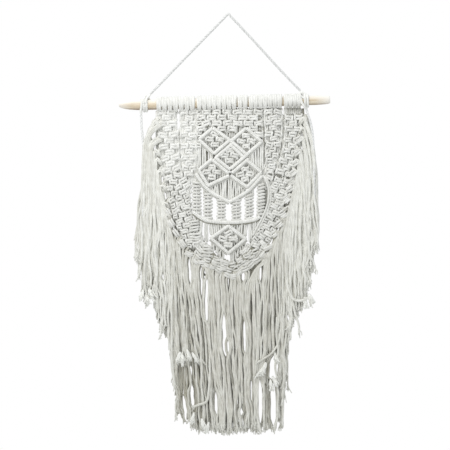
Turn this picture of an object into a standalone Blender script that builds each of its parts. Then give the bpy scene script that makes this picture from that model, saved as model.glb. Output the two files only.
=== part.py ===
"""A macrame wall hanging on a wooden dowel, in metres, +Z up.

The origin is the middle of the hanging cord where it goes over the nail. X runs to the right as
the hanging is seen, and its front faces -Y. Sizes below are in millimetres. A "drop" is how far a
point lies below the nail. Tables have named columns, one row for each point or bundle.
"""

import math

import bmesh
import bpy
from mathutils import Vector

MM = 0.001

# Dowel
DOWEL_LEFT = -181.5
DOWEL_RIGHT = 168
DOWEL_RADIUS_LEFT = 8.7
DOWEL_RADIUS_RIGHT = 7.6
DOWEL_DROP = 146.2  # of its axis, straight below the nail
DOWEL_RISE = 0.0263  # how much the right side hangs higher, for each mm along
TURNED_STEPS = 16

# Cords
CORD = 4.3  # thickness of the hanging cord and its tails
WRAP = 3.2  # thickness of a turn of cord pulled tight on the dowel
GAP = 0.4  # between neighbouring pieces
CORD_STEP = 11  # spacing of the points along a free cord

# Knotted field
FIELD_THICK = 9
FIELD_EDGE = 1.5  # chamfer round a panel
LINE_THICK = 5.2  # a raised line of clove hitches

# Fringe
COMB_CREST = 4.3  # half thickness at the middle of a bundle
COMB_VALLEY = 1.5  # half thickness between two bundles
COMB_SEAT = 0.7  # between the field's edge and the fringe looped on it
COMB_FIRST = 18  # first bundle, measured along the edge from the field's upper left corner
COMB_PITCH = 14.9  # between bundles along that edge
COMB_REACH = 38  # drop in which a bundle swings from the edge to where it falls
COMB_NOTCH = 17  # how far the notches between bundles reach up from their tips
COMB_ROWS = (0, 0.05, 0.12, 0.22, 0.36, 0.55, 0.75, 0.9, 1)

COTTON = (0.80, 0.80, 0.76)
WOOD = (0.72, 0.56, 0.36)

# The field's outer edge, a U from its upper left corner down and up to its upper right corner: (x, drop)
FIELD_RIM = (
    (-118, 160), (-116, 224), (-111, 257), (-104, 290), (-99, 315), (-95, 343), (-85, 370),
    (-73, 389), (-64.5, 400), (-54, 409.5), (-42, 416.5), (-29, 422.5), (-13, 430.5), (0, 436), (7, 437),
    (15, 433), (28, 424), (40, 417.5), (51, 409.5), (61, 396.5), (70, 379), (79, 361), (87, 345),
    (94, 328), (99.5, 309), (105, 290), (111, 266), (115, 241), (119, 216), (122, 167),
)
RIM_BOTTOM = 13  # row of the lowest point of the left border

# Lower edge of the diamond panel, and the upper and lower edges of the curved line: (x, drop)
CLOSING_V = ((-60, 262.4), (-51.2, 271.5), (-38, 290), (1, 310), (28, 295), (56, 267), (59.4, 262.4))
ARC = ((-57, 329.6), (-52, 334), (-42, 340.5), (-30, 344.3), (0, 346.5), (28, 344.8), (44, 341.5), (51.5, 337.5))
ARC_THICK = 5.2

# Panels of the field whose outlines are drawn point by point: name, then (x, drop) round it.
# A drop of TOP is just under the heading.
TOP = None
PANELS = {
    "left_outer_panel": (
        (-118, TOP), (-86, TOP), (-86, 191), (-83.7, 194.5), (-83.7, 262), (-109.9, 262), (-111, 257),
        (-116, 224),
    ),
    "left_inner_panel": ((-81, TOP), (-51.2, TOP), (-51.2, 262), (-83.3, 262), (-83.3, 194.3), (-81, 191)),
    "right_inner_panel": ((57.8, TOP), (87, TOP), (87, 166), (88, 169.5), (88, 262), (57.8, 262)),
    "right_outer_panel": (
        (92, TOP), (121.2, TOP), (122, 167), (119, 216), (115, 241), (111.6, 262), (88.4, 262),
        (88.4, 169.3), (92, 166),
    ),
    "left_fan": ((-53.5, 338), (-42.5, 345), (-34.6, 347.2), (-34.6, 374), (-48.6, 352.5)),
    "upper_left_fan": ((-28.6, 348.4), (-6, 350), (-28.6, 365.5)),
    "upper_right_fan": ((5.5, 350), (27.6, 348.7), (27.6, 366)),
    "lower_left_fan": ((-27.4, 377), (-6.5, 391.8), (-6.5, 400.5), (-22, 388.2)),
    "lower_right_fan": ((26.6, 378.5), (2.6, 396.6), (2.6, 408), (10, 401.4), (24, 387.4)),
    "right_fan": ((34.6, 347.5), (44.5, 344.6), (50.2, 341.4), (48.4, 350.5), (36, 370.3)),
}

# Inner edges of the two borders, from the top down: (x, drop)
LEFT_BORDER_INSIDE = (
    (-62.8, 262.4), (-62.8, 325), (-59.5, 331.5), (-49, 352.6), (-36, 373), (-22, 388.8), (-10, 402), (-0.4, 412.5),
)
RIGHT_BORDER_INSIDE = (
    (59.8, 262.4), (60.5, 290), (66, 307), (62, 322), (57, 334), (52.8, 341.5), (48.8, 351), (38, 369), (24, 388), (10, 402),
    (0, 412.5),
)

# Half-knot sinnets: left and right sides. They hang from CLOSING_V down to ARC.
SINNETS = ((-60, -45.4), (-39.8, -27), (-18, -4.8), (6.2, 20.8), (28.5, 40.8), (47, 55.8))

# Diamonds in the centre panel, by their corners: (x, drop) of top, left, bottom, right
DIAMONDS = (
    ((-24, 186), (-47, 205), (-22, 228), (4, 208)),
    ((31, 187), (4, 208), (28, 233), (54, 210)),
    ((3, 211), (-25, 233), (3, 257), (28, 233)),
    ((-27, 238), (-47, 257), (-35, 284), (1, 264)),
    ((26, 243), (1, 266), (29, 287), (54, 261)),
)
SMALL_DIAMOND = ((0, 349.4), (-28.5, 370), (0, 394.5), (28.5, 371))

# Fringe bundles in order round the rim: x where the bundle falls, x of its tip, drop of its tip
BUNDLES = (
    (-143, -151, 412), (-137, -143, 469), (-132, -136, 483), (-127, -126, 487), (-122, -119, 505),
    (-117, -114, 520), (-112, -108, 531), (-107, -101, 538), (-103, -96, 591), (-99, -95, 644),
    (-95, -86, 657), (-90, -80, 673), (-86, -71, 676), (-82, -64, 685), (-75, -56, 688),
    (-65, -47, 691), (-55, -38, 690), (-45, -29, 686), (-34, -19, 691), (-24, -10, 693),
    (-13, -1, 691), (-2, 8, 693), (9, 17, 690), (19, 26, 691), (30, 35, 688), (40, 44, 691),
    (50, 52, 693), (59, 60, 690), (67, 67, 688), (79, 84, 690), (86, 90, 683), (93, 93, 640),
    (98, 95, 614), (102, 102, 541), (106, 107, 523), (111, 112, 508), (116, 117, 498),
    (121, 123, 480), (126, 128, 459), (131, 134, 432), (136, 141, 409), (141, 147, 389),
)
COMBS = {"left_fringe": (0, 14), "centre_fringe": (14, 31), "right_fringe": (31, 42)}  # first row, row after the last

# Two gaps in the centre fringe, each a slot: x of its middle, upper and lower drop, width
FRINGE_GAPS = ((73.5, 571, 608, 8.5), (75.6, 617, 700, 6.0))

# Free cords: (x, y, drop) along each
HANGING_CORD = (
    (-129.6, -0.3, 133), (-110, -0.3, 113), (-83, -0.2, 85), (-56, -0.1, 57.2), (-30, 0, 30.4), (-13, 0, 13),
    (-5.5, 0, 5.4), (0, 0, 0), (5.5, 0, 5.6), (13, 0, 13.2), (30, 0, 31.4), (54, -0.1, 57.4), (80, -0.2, 86),
    (102, -0.3, 109.4), (119.9, -0.3, 127.5),
)
LEFT_TAIL = (
    (-143.6, -6, 163), (-143.4, -6.5, 176), (-142.6, -6.8, 190), (-141, -6.9, 206), (-139.6, -6.9, 224),
    (-139.2, -6.9, 248), (-139.8, -6.9, 276), (-140.6, -6.9, 305), (-141.4, -6.9, 334),
)
RIGHT_TAIL = (
    (128.4, -6, 156), (130.4, -6.5, 164), (133.6, -6.8, 174), (137.2, -6.9, 188), (139.4, -6.9, 206),
    (140.4, -6.9, 230), (140.8, -6.9, 256), (141.4, -6.9, 282), (142.4, -6.9, 306),
)


def place(x, y, drop):
    """A point in the model's metres from millimetres across, back and down."""
    return Vector((x, y, -drop)) * MM


def clear_scene():
    for old in list(bpy.data.objects):
        bpy.data.objects.remove(old, do_unlink=True)


def new_collection(name):
    made = bpy.data.collections.new(name)
    bpy.context.scene.collection.children.link(made)
    return made


def material(name, colour, roughness):
    made = bpy.data.materials.new(name)
    made.use_nodes = True
    shader = made.node_tree.nodes["Principled BSDF"]
    shader.inputs["Base Color"].default_value = (*colour, 1)
    shader.inputs["Roughness"].default_value = roughness
    shader.inputs["Metallic"].default_value = 0
    return made


def add(name, data, group, finish=None):
    made = bpy.data.objects.new(name, data)
    group.objects.link(made)
    if finish:
        data.materials.append(finish)
    return made


def as_mesh(source, group):
    """The object as a plain mesh with its caps welded, in its own place. The source is removed."""
    graph = bpy.context.evaluated_depsgraph_get()
    graph.update()
    data = bpy.data.meshes.new_from_object(source.evaluated_get(graph))
    shape = bmesh.new()
    shape.from_mesh(data)
    bmesh.ops.remove_doubles(shape, verts=shape.verts, dist=0.002 * MM)
    bmesh.ops.recalc_face_normals(shape, faces=shape.faces)
    shape.to_mesh(data)
    shape.free()
    name = source.name
    where = source.matrix_world.copy()
    bpy.data.objects.remove(source, do_unlink=True)
    made = bpy.data.objects.new(name, data)
    made.matrix_world = where
    group.objects.link(made)
    return made


def boolean(target, other, operation):
    cut = target.modifiers.new(operation.lower(), "BOOLEAN")
    cut.operation = operation
    cut.object = other
    cut.solver = "EXACT"


def helper(obj):
    obj.hide_render = True
    obj.display_type = "WIRE"


# Turned pieces on the dowel's axis


def dowel_axis(obj):
    """Lays a turned shape, made along its own X, on the dowel's slightly tilted axis."""
    obj.location = place(0, 0, DOWEL_DROP)
    obj.rotation_euler = (0, -math.atan(DOWEL_RISE), 0)


def dowel_radius(x):
    share = (x - DOWEL_LEFT) / (DOWEL_RIGHT - DOWEL_LEFT)
    return DOWEL_RADIUS_LEFT + (DOWEL_RADIUS_RIGHT - DOWEL_RADIUS_LEFT) * share


def turned(name, profile, group, finish, closed):
    """Turns (x, radius) points about the X axis. A closed profile makes a ring."""
    data = bpy.data.meshes.new(name)
    points = [(x * MM, 0, radius * MM) for x, radius in reversed(profile)]
    edges = [(i, i + 1) for i in range(len(points) - 1)]
    if closed:
        edges.append((len(points) - 1, 0))
    data.from_pydata(points, edges, [])
    made = add(name, data, group, finish)
    screw = made.modifiers.new("turn", "SCREW")
    screw.axis = "X"
    screw.steps = screw.render_steps = TURNED_STEPS
    screw.use_merge_vertices = True
    screw.merge_threshold = 0.01 * MM
    screw.use_smooth_shade = True
    dowel_axis(made)
    return made


def make_dowel(group, finish):
    left = DOWEL_LEFT
    right = DOWEL_RIGHT
    profile = (
        (left, 0), (left + 0.8, 2.4), (left + 4, 5.2), (left + 9.5, 7.2), (left + 17, 8.1), (left + 34, 8.5),
        (-120, dowel_radius(-120)), (0, dowel_radius(0)), (120, dowel_radius(120)),
        (right - 22, 7.6), (right - 8, 7.1), (right - 2.4, 6.4), (right, 5.2), (right, 0),
    )
    return turned("dowel", profile, group, finish, closed=False)


def ring(name, left, right, ridges, thick, group, finish):
    """A run of cord turns round the dowel: a sleeve with a ridge for each turn or pair of turns."""
    pitch = (right - left) / ridges
    outer = [(left, dowel_radius(left) + GAP + thick * 0.45)]
    for i in range(ridges):
        x = left + pitch * (i + 0.5)
        outer.append((x, dowel_radius(x) + GAP + thick))
        x = left + pitch * (i + 1)
        outer.append((x, dowel_radius(x) + GAP + thick * (0.45 if i == ridges - 1 else 0.72)))
    inner = [(right, dowel_radius(right) + GAP), (left, dowel_radius(left) + GAP)]
    return turned(name, outer + inner, group, finish, closed=True)


def make_knot(name, left, right, knob, knob_radius, group, helpers, finish):
    """Three turns round the dowel with the knot's round body on top. knob is its (x, y, drop)."""
    knot = ring(name, left, right, 3, CORD, group, finish)
    bpy.ops.mesh.primitive_uv_sphere_add(segments=12, ring_count=8, radius=knob_radius * MM)
    ball = bpy.context.active_object
    ball.name = name + "_knob"
    for other in list(ball.users_collection):
        other.objects.unlink(ball)
    helpers.objects.link(ball)
    ball.location = place(*knob)
    helper(ball)
    boolean(knot, ball, "UNION")
    return knot


# Free cords


def smooth(points, step):
    """Points at most step apart on a smooth curve through the given ones."""
    ends = [2 * points[0] - points[1]] + list(points) + [2 * points[-1] - points[-2]]
    made = [points[0]]
    for before, start, end, after in zip(ends, ends[1:], ends[2:], ends[3:]):
        count = max(1, math.ceil((end - start).length / step))
        for i in range(1, count + 1):
            t = i / count
            pull = (end - before) * (t * (1 - t) ** 2) - (after - start) * (t**2 * (1 - t))
            made.append(start.lerp(end, t * t * (3 - 2 * t)) + pull / 2)
    return made


def tube(name, points, radius, group, finish=None, sides=2):
    data = bpy.data.curves.new(name, "CURVE")
    data.dimensions = "3D"
    data.bevel_depth = radius * MM
    data.bevel_resolution = sides
    data.use_fill_caps = True
    spline = data.splines.new("POLY")
    spline.points.add(len(points) - 1)
    for point, where in zip(spline.points, points):
        point.co = (*where, 1)
        point.radius = 1
    return add(name, data, group, finish)


def make_free_cord(name, route, group, finish):
    points = [place(*row) for row in route]
    return tube(name, smooth(points, CORD_STEP * MM), CORD / 2, group, finish)


# Flat knotted panels


def under_heading(x):
    """The drop just below the turns of cord on the dowel."""
    return DOWEL_DROP - DOWEL_RISE * x + dowel_radius(x) + GAP + WRAP + GAP


def panel(name, outline, thick, edge, group, finish):
    """A flat piece from its outline of (x, drop) points, seen from the front, with chamfered edges."""
    outline = [(x, under_heading(x) if drop is TOP else drop) for x, drop in outline]
    data = bpy.data.curves.new(name, "CURVE")
    data.dimensions = "2D"
    data.fill_mode = "BOTH"
    data.extrude = thick / 2 * MM
    spline = data.splines.new("POLY")
    spline.points.add(len(outline) - 1)
    for point, (x, drop) in zip(spline.points, outline):
        point.co = (x * MM, -drop * MM, 0, 1)
    spline.use_cyclic_u = True
    made = add(name, data, group, finish)
    made.rotation_euler = (math.pi / 2, 0, 0)
    if edge:
        weld = made.modifiers.new("weld", "WELD")
        weld.merge_threshold = 0.002 * MM
        chamfer = made.modifiers.new("chamfer", "BEVEL")
        chamfer.width = edge * MM
        chamfer.segments = 1
        chamfer.limit_method = "ANGLE"
        chamfer.angle_limit = math.radians(60)
    return made


def height_on(line, x):
    """The drop of a line of (x, drop) points at x."""
    for (x0, drop0), (x1, drop1) in zip(line, line[1:]):
        if x0 <= x <= x1:
            return drop0 + (drop1 - drop0) * (x - x0) / (x1 - x0)
    return line[0][1] if x < line[0][0] else line[-1][1]


def raised(line, distance):
    """The line of (x, drop) points moved up square to itself."""
    made = []
    for i, (x, drop) in enumerate(line):
        (x0, drop0), (x1, drop1) = line[max(0, i - 1)], line[min(len(line) - 1, i + 1)]
        length = math.hypot(x1 - x0, drop1 - drop0)
        made.append((x + (drop1 - drop0) / length * distance, drop - (x1 - x0) / length * distance))
    return made


def between(upper, lower, left, right, gap):
    """The outline between two lines over left to right, a gap away from each."""
    stops = sorted({left, right} | {x for x, _ in upper if left < x < right})
    top = [(x, height_on(upper, x) + gap) for x in stops]
    stops = sorted({left, right} | {x for x, _ in lower if left < x < right}, reverse=True)
    return top + [(x, height_on(lower, x) - gap) for x in stops]


def raised_lines(target, diamonds, group):
    """Adds the raised lines of clove hitches round each diamond, on the panel's front."""
    target = as_mesh(target, target.users_collection[0])
    for i, corners in enumerate(diamonds):
        front = [place(x, -FIELD_THICK / 2, drop) for x, drop in corners]
        line = tube(f"{target.name}_line_{i}", front, LINE_THICK / 2, group, sides=1)
        line.data.splines[0].use_cyclic_u = True
        line = as_mesh(line, group)
        helper(line)
        boolean(target, line, "UNION")
    return target


def make_field(group, helpers, finish):
    for name, outline in PANELS.items():
        panel(name, outline, FIELD_THICK, FIELD_EDGE, group, finish)
    top = [(57.4, TOP), (-50.8, TOP)]
    edge = [(-50.8, 271.6)] + [(x, drop) for x, drop in CLOSING_V if -50 < x < 57] + [(57.4, 265)]
    centre = panel("centre_panel", top + edge, FIELD_THICK, 0, group, finish)
    centre = raised_lines(centre, DIAMONDS, helpers)
    centre.data.materials.append(finish)
    small = panel("small_diamond", SMALL_DIAMOND, FIELD_THICK, 0, group, finish)
    inner = [(x * 0.86, 372 + (drop - 372) * 0.86) for x, drop in SMALL_DIAMOND]
    small = raised_lines(small, (inner,), helpers)
    small.data.materials.append(finish)
    for i, (left, right) in enumerate(SINNETS):
        outline = between(CLOSING_V, raised(ARC, ARC_THICK / 2), left, right, GAP + 0.1)
        panel(f"sinnet_{i + 1}", outline, FIELD_THICK - 1, FIELD_EDGE, group, finish)
    tube("arc_line", smooth([place(x, -1, drop) for x, drop in ARC], 12 * MM), ARC_THICK / 2, group, finish)
    left_rim = [(-109.7, 262.4)] + list(FIELD_RIM[3:RIM_BOTTOM]) + [(-0.4, FIELD_RIM[RIM_BOTTOM][1])]
    outline = left_rim + list(reversed(LEFT_BORDER_INSIDE))
    panel("left_border", outline, FIELD_THICK, FIELD_EDGE, group, finish)
    right_rim = [(0, FIELD_RIM[RIM_BOTTOM][1])] + list(FIELD_RIM[RIM_BOTTOM + 1 : -4]) + [(111.5, 262.4)]
    outline = right_rim + list(RIGHT_BORDER_INSIDE)
    panel("right_border", outline, FIELD_THICK, FIELD_EDGE, group, finish)


# Fringe


def rim_point(along):
    """The point and outward direction on the field's rim, this far along it."""
    for (x0, drop0), (x1, drop1) in zip(FIELD_RIM, FIELD_RIM[1:]):
        length = math.hypot(x1 - x0, drop1 - drop0)
        if along <= length:
            break
        along -= length
    share = min(1, along / length)
    outward = ((drop0 - drop1) / length, (x1 - x0) / length)
    return (x0 + (x1 - x0) * share, drop0 + (drop1 - drop0) * share), outward


def bundle_at(row):
    """Fall and tip of a bundle, or of the notch half way between two, where row is a half number."""
    low = max(0, math.floor(row))
    high = min(len(BUNDLES) - 1, math.ceil(row))
    if row < 0:
        high = low
    fall, tip, drop = [(a + b) / 2 for a, b in zip(BUNDLES[low], BUNDLES[high])]
    if low != row:
        drop = min(BUNDLES[low][2], BUNDLES[high][2]) - COMB_NOTCH
    outer = (row < 0) * -0.5 + (row > len(BUNDLES) - 1) * 0.5
    return fall + outer * 6, tip + outer * 5, drop


def strand_line(row, shift):
    """Points (x, drop) down one bundle or notch of the fringe, moved sideways by the shift."""
    (x0, drop0), outward = rim_point(COMB_FIRST + COMB_PITCH * row)
    x0 += outward[0] * COMB_SEAT
    drop0 += outward[1] * COMB_SEAT
    fall, tip, end = bundle_at(row)
    line = []
    for share in COMB_ROWS:
        drop = drop0 + (end - drop0) * share
        swing = min(1, (drop - drop0) / COMB_REACH)
        swing = swing * (2 - swing)
        x = x0 + (fall - x0) * swing + (tip - fall) * max(0, (drop - drop0 - COMB_REACH) / (end - drop0))
        line.append((x + shift, drop))
    return line


def make_comb(name, first, last, group, finish):
    """One comb of fringe bundles: a closed sheet, thick down each bundle and thin between them."""
    rows = [first - 0.5 + 0.5 * i for i in range(2 * (last - first) + 1)]
    shifts = [0.0] * len(rows)
    if first > 0:
        rows[0] += 0.03
        shifts[0] = GAP / 2
    if last < len(BUNDLES):
        rows[-1] -= 0.03
        shifts[-1] = -GAP / 2
    shape = bmesh.new()
    front = []
    back = []
    for i, row in enumerate(rows):
        half = COMB_CREST if i % 2 else COMB_VALLEY
        line = strand_line(row, shifts[i])
        front.append([shape.verts.new(place(x, -half, drop)) for x, drop in line])
        back.append([shape.verts.new(place(x, half, drop)) for x, drop in line])
    height = len(COMB_ROWS)
    for side in (front, back):
        for one, two in zip(side, side[1:]):
            for k in range(height - 1):
                shape.faces.new((one[k], one[k + 1], two[k + 1], two[k]))
    for k in range(height - 1):
        shape.faces.new((front[0][k], front[0][k + 1], back[0][k + 1], back[0][k]))
        shape.faces.new((front[-1][k], front[-1][k + 1], back[-1][k + 1], back[-1][k]))
    for k in (0, height - 1):
        for i in range(len(rows) - 1):
            shape.faces.new((front[i][k], front[i + 1][k], back[i + 1][k], back[i][k]))
    bmesh.ops.recalc_face_normals(shape, faces=shape.faces)
    data = bpy.data.meshes.new(name)
    shape.to_mesh(data)
    shape.free()
    data.shade_smooth()
    return add(name, data, group, finish)


def cut_fringe_gap(comb, x, upper, lower, width, helpers):
    """Cuts one slot with round ends through the comb."""
    half = width / 2
    outline = []
    for middle, start in ((upper + half, 180), (lower - half, 0)):
        for i in range(7):
            turn = math.radians(start + 30 * i)
            outline.append((x + half * math.cos(turn), middle + half * math.sin(turn)))
    slot = panel(f"{comb.name}_gap_{upper}", outline, 6 * COMB_CREST, 0, helpers, None)
    slot = as_mesh(slot, helpers)
    helper(slot)
    boolean(comb, slot, "DIFFERENCE")


def main():
    clear_scene()
    hanging = new_collection("macrame wall hanging")
    helpers = new_collection("helpers")
    wood = material("wood", WOOD, 0.6)
    cotton = material("cotton", COTTON, 0.95)
    make_dowel(hanging, wood)
    ring("heading_left", -118.5, -55, 11, WRAP, hanging, cotton)
    ring("heading_middle", -51.5, 88, 24, WRAP, hanging, cotton)
    ring("heading_right", 91.5, 119.5, 5, WRAP, hanging, cotton)
    make_knot("left_knot", -144.5, -131.5, (-134, 0, 136.3), 5, hanging, helpers, cotton)
    make_knot("right_knot", 121.6, 133.4, (125, 0, 130), 4.6, hanging, helpers, cotton)
    make_free_cord("hanging_cord", HANGING_CORD, hanging, cotton)
    make_free_cord("left_tail", LEFT_TAIL, hanging, cotton)
    make_free_cord("right_tail", RIGHT_TAIL, hanging, cotton)
    make_field(hanging, helpers, cotton)
    for name, (first, last) in COMBS.items():
        comb = make_comb(name, first, last, hanging, cotton)
        if name == "centre_fringe":
            for gap in FRINGE_GAPS:
                cut_fringe_gap(comb, *gap, helpers)


main()
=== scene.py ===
"""The looks of a macrame wall hanging on a wooden dowel.

Lengths in the tables are millimetres: X to the right, "drop" for how far a point lies below the nail,
and y from front (minus) to back (plus). Cords are laid as round tubes along smooth routes, and the
cords of one piece make one mesh.
"""

import math

import bpy
import numpy as np
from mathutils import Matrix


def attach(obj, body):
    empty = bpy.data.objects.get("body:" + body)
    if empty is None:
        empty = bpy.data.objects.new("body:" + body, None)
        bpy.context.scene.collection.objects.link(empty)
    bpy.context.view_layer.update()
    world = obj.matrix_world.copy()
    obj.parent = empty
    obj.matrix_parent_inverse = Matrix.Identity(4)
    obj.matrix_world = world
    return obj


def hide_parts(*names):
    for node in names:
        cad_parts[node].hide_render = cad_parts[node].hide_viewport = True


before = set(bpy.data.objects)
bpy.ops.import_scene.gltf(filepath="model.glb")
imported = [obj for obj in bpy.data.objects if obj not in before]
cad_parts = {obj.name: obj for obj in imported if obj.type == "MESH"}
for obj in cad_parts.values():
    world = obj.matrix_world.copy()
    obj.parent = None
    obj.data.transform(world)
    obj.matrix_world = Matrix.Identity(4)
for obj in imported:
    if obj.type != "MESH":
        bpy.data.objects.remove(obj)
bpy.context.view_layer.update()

MM = 0.001
chance = np.random.default_rng(11)

# Cords and knots
CORD = 4.2  # thickness of the cotton cord that everything is tied from
KNOT_WIDE = 16.8  # a square knot of four cords
KNOT_TALL = 9.2  # and its two front bars
CENTRE_KNOT = 17.2  # from knot to knot along the upper rows of the centre panel
FIELD_TOP = 161.7  # drop of the middle of the first row of knots
FIELD_START = 158  # drop at which the cords between those knots start
DIAMOND_TOP = 206  # drop at which the upper two diamonds take over from those rows
HITCH = 2.75  # from turn to turn along a line of clove hitches
LINE_WIDE = 6.4
LINE_FRONT = -4.4  # how far such a line stands in front of the field's middle
SINNET_TURN = 5.3  # from turn to turn down a sinnet
BACK_PITCH = 3.4  # from cord to cord behind the work
BARE_CORNER = (96, 167)  # right of this x and above this drop only the cords from the heading show
HALF_KNOTS_FROM = 290  # drop from which rows end in narrow knots where a whole one doesn't fit
PANEL_TURNS_TO = 268  # drop down to which the raised turns belong to the outer panels
PLY_TURN = 11.0  # length of hanging cord in which its two plies turn once
PLY_STEP = 0.9  # length of cord between two points of a ply

# Dowel
DOWEL_LEFT, DOWEL_RIGHT = -181.5, 168.0
DOWEL_RADIUS_LEFT, DOWEL_RADIUS_RIGHT = 8.7, 7.6
DOWEL_DROP = 146.2
DOWEL_RISE = 0.0263

# Lark's heads on the dowel: left end, right end and number of each run between two glimpses of wood
HEADING = {
    "heading_left": ((-118.8, -54.6, 7),),
    "heading_middle": ((-51.8, 13.6, 8), (15.2, 31.8, 2), (33.4, 88.4, 7)),
    "heading_right": ((91.6, 120.2, 4),),
}

# The field's edge, a U from its upper left corner round to its upper right corner: (x, drop)
FIELD_RIM = (
    (-118, 160), (-116, 224), (-111, 257), (-104, 290), (-99, 315), (-95, 343), (-85, 370), (-73, 389),
    (-64.5, 400), (-54, 409.5), (-42, 416.5), (-29, 422.5), (-13, 430.5), (0, 436), (7, 437), (15, 433),
    (28, 424), (40, 417.5), (51, 409.5), (61, 396.5), (70, 379), (79, 361), (87, 345), (94, 328),
    (99.5, 309), (105, 290), (111, 266), (115, 241), (119, 216), (122, 167),
)
# Stretches of it that the lowest rows of each border follow, from their outer end
LOW_RIM = {"left": FIELD_RIM[7:14], "right": FIELD_RIM[19:13:-1]}

# Diamonds of the centre panel: top, left, bottom and right corner, as (x, drop)
DIAMONDS = (
    ((-24, 186), (-47, 205), (-22, 228), (4, 208)), ((31, 187), (4, 208), (28, 233), (54, 210)),
    ((3, 211), (-25, 233), (3, 257), (28, 233)), ((-27, 238), (-47, 257), (-35, 284), (1, 264)),
    ((26, 243), (1, 266), (29, 287), (54, 261)),
)
SMALL_DIAMOND = ((0, 349.4), (-28.5, 370), (0, 394.5), (28.5, 371))
CLOSING_V = (
    (-53.3, 264), (-38.4, 284.6), (-23.6, 297), (2, 310.2), (27.6, 295.4), (39.1, 285.5), (55.6, 267.3),
)
ARC = (
    (-57, 327), (-52, 331.4), (-42, 337.9), (-30, 341.7), (0, 343.9), (28, 342.2), (44, 338.9),
    (51.5, 334.9),
)

# Lines of clove hitches in the centre panel, end to end as (x, drop)
LINES = (
    ((-47.5, 206.3), (-26.5, 188.6)), ((-24.5, 188.4), (4.5, 209.6)), ((-47.5, 207.9), (-23.6, 230.2)),
    ((3.2, 207.6), (-23.8, 230.4)), ((4.5, 209.6), (29.2, 188.4)), ((30.2, 188.4), (54, 209.8)),
    ((4.5, 209.6), (29.2, 231)), ((54.4, 211.2), (29.2, 232.8)), ((7.6, 213.4), (-20.3, 236.6)),
    ((2.2, 215), (24.3, 234.6)), ((-21.9, 236.6), (2.8, 256.6)), ((-25.6, 241), (0.4, 262.6)),
    ((29.2, 233.6), (4.5, 254.8)), ((32.8, 239.4), (6.6, 262)), ((-26.9, 239.3), (-48.3, 257.4)),
    ((-48.3, 258.2), (-33.5, 282.2)), ((-34, 283.6), (0.6, 266.8)), ((30.9, 241.6), (54, 260.7)),
    ((54.2, 261.6), (30.9, 285.5)), ((4.8, 266.8), (30.9, 285.5)),
)

# Rows of knots down each side of the field, each as (x and drop of its outer end, of its inner end, knots).
# A few rows of each band are given, and the rest are spaced evenly between them
LEFT_BANDS = (
    (
        (-117.6, 161.7, -85.2, 161.7, 2), (-117, 189, -84.6, 189, 2), (-117, 198.7, -81, 198.7, 2),
        (-112.5, 247, -79, 243, 2), (-110, 260, -77.4, 253, 2),
    ),
    (
        (-80, 161.7, -51.2, 161.7, 2), (-79.6, 189, -51.2, 189, 2), (-80, 198.7, -51.2, 198.7, 2),
        (-77.6, 244, -51.2, 244, 2), (-76, 256, -54, 255, 2),
    ),
    (
        (-108, 271, -56.6, 262, 3), (-106, 287, -60.6, 280, 3), (-98, 312, -62.6, 301, 2),
        (-90, 339, -60.5, 331, 2), (-79, 364, -47.5, 358, 2), (-68, 383, -36, 380, 2),
    ),
)
RIGHT_BANDS = (
    (
        (123, 170.9, 91.8, 170.9, 2), (120, 219, 90.6, 214, 2), (114, 247, 83.4, 238, 2),
        (109, 268, 77.4, 258, 2),
    ),
    (
        (89.8, 161.7, 57.8, 161.7, 2), (89.6, 198, 59.6, 198, 2), (88.6, 214, 60.4, 214, 2),
        (82, 238, 60.4, 236, 1.4), (75.8, 260, 60, 258, 1),
    ),
    (
        (106, 279, 60, 268, 3), (101, 287, 66, 279, 2), (95, 310, 69.5, 299, 1.5), (86, 339, 62, 328, 1.5),
        (73, 371, 48.5, 356, 1.5), (60, 391, 36, 377, 1.5),
    ),
)
# Each side: its name, the way its edge lies, its bands, how far from the middle its outer panel starts, the
# drop where its border starts, and the ends of the cords behind that border
SIDES = (
    ("left", -1, LEFT_BANDS, 82.6, 262, (-109, 3)), ("right", 1, RIGHT_BANDS, 90.8, 265, (2, 106)),
)
# Rows that follow the lower edge: distance from it, the stretch they cover as shares, and knots
RIM_ROWS = ((12.2, 0.03, 1.0, 4.5), (21, 0.1, 0.93, 4), (29.4, 0.04, 0.62, 2.5))

# Raised turns along the edge of the work: x, drop, slope in degrees downward to the right, length, bars
KNOBS = (
    (-99, 327, 60, 12, 2), (-93.7, 344.9, 60, 13, 3), (-86, 361.8, 55, 12, 2), (-75.5, 379.5, 55, 14, 3),
    (-65, 396, 25, 13, 3), (-54, 409, 38, 11, 2), (-44, 410, 2, 11, 2), (-36, 414.5, 24, 9, 2),
    (-26, 418, 8, 10, 2), (-15.5, 423, 30, 11, 2), (-8, 421, 8, 9, 2), (-2, 431, 26, 11, 2),
    (8, 433, -4, 10, 3), (17, 427, -46, 11, 2), (27, 421, -22, 11, 2), (37, 413, -44, 11, 3),
    (47, 406, -26, 10, 2), (56, 397.5, -44, 11, 2), (66, 385, -28, 15, 2), (76.6, 363, -40, 10, 3),
    (83.6, 347, -40, 10, 3), (90.4, 330.5, -35, 10, 4), (95.6, 305, -35, 10, 4), (101, 288, -35, 10, 3),
    (104.4, 276.5, -35, 9, 3), (107.4, 262, -35, 9, 3), (110.4, 245, -35, 9, 3), (113.4, 227.7, -35, 9, 3),
    (117, 207, -30, 9, 3),
)
# Longer ones, where the inner cords of the left border bend into the fans
LONG_BARS = ((-56, 349, -8, 12, 4), (-52, 370, -4, 13, 4), (-35, 391, 5, 17, 4), (-14, 412, 16, 14, 3))
# One such turn: place along its half length, how far back from its front, and how far aside it bends
TURN_SHAPE = (
    (-1.05, 7, 0.6), (-0.92, 2.6, 0.2), (-0.5, 0.2, 0), (0, 0, 0), (0.5, 0.2, 0), (0.92, 2.6, 0.2),
    (1.05, 7, 0.6),
)

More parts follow.
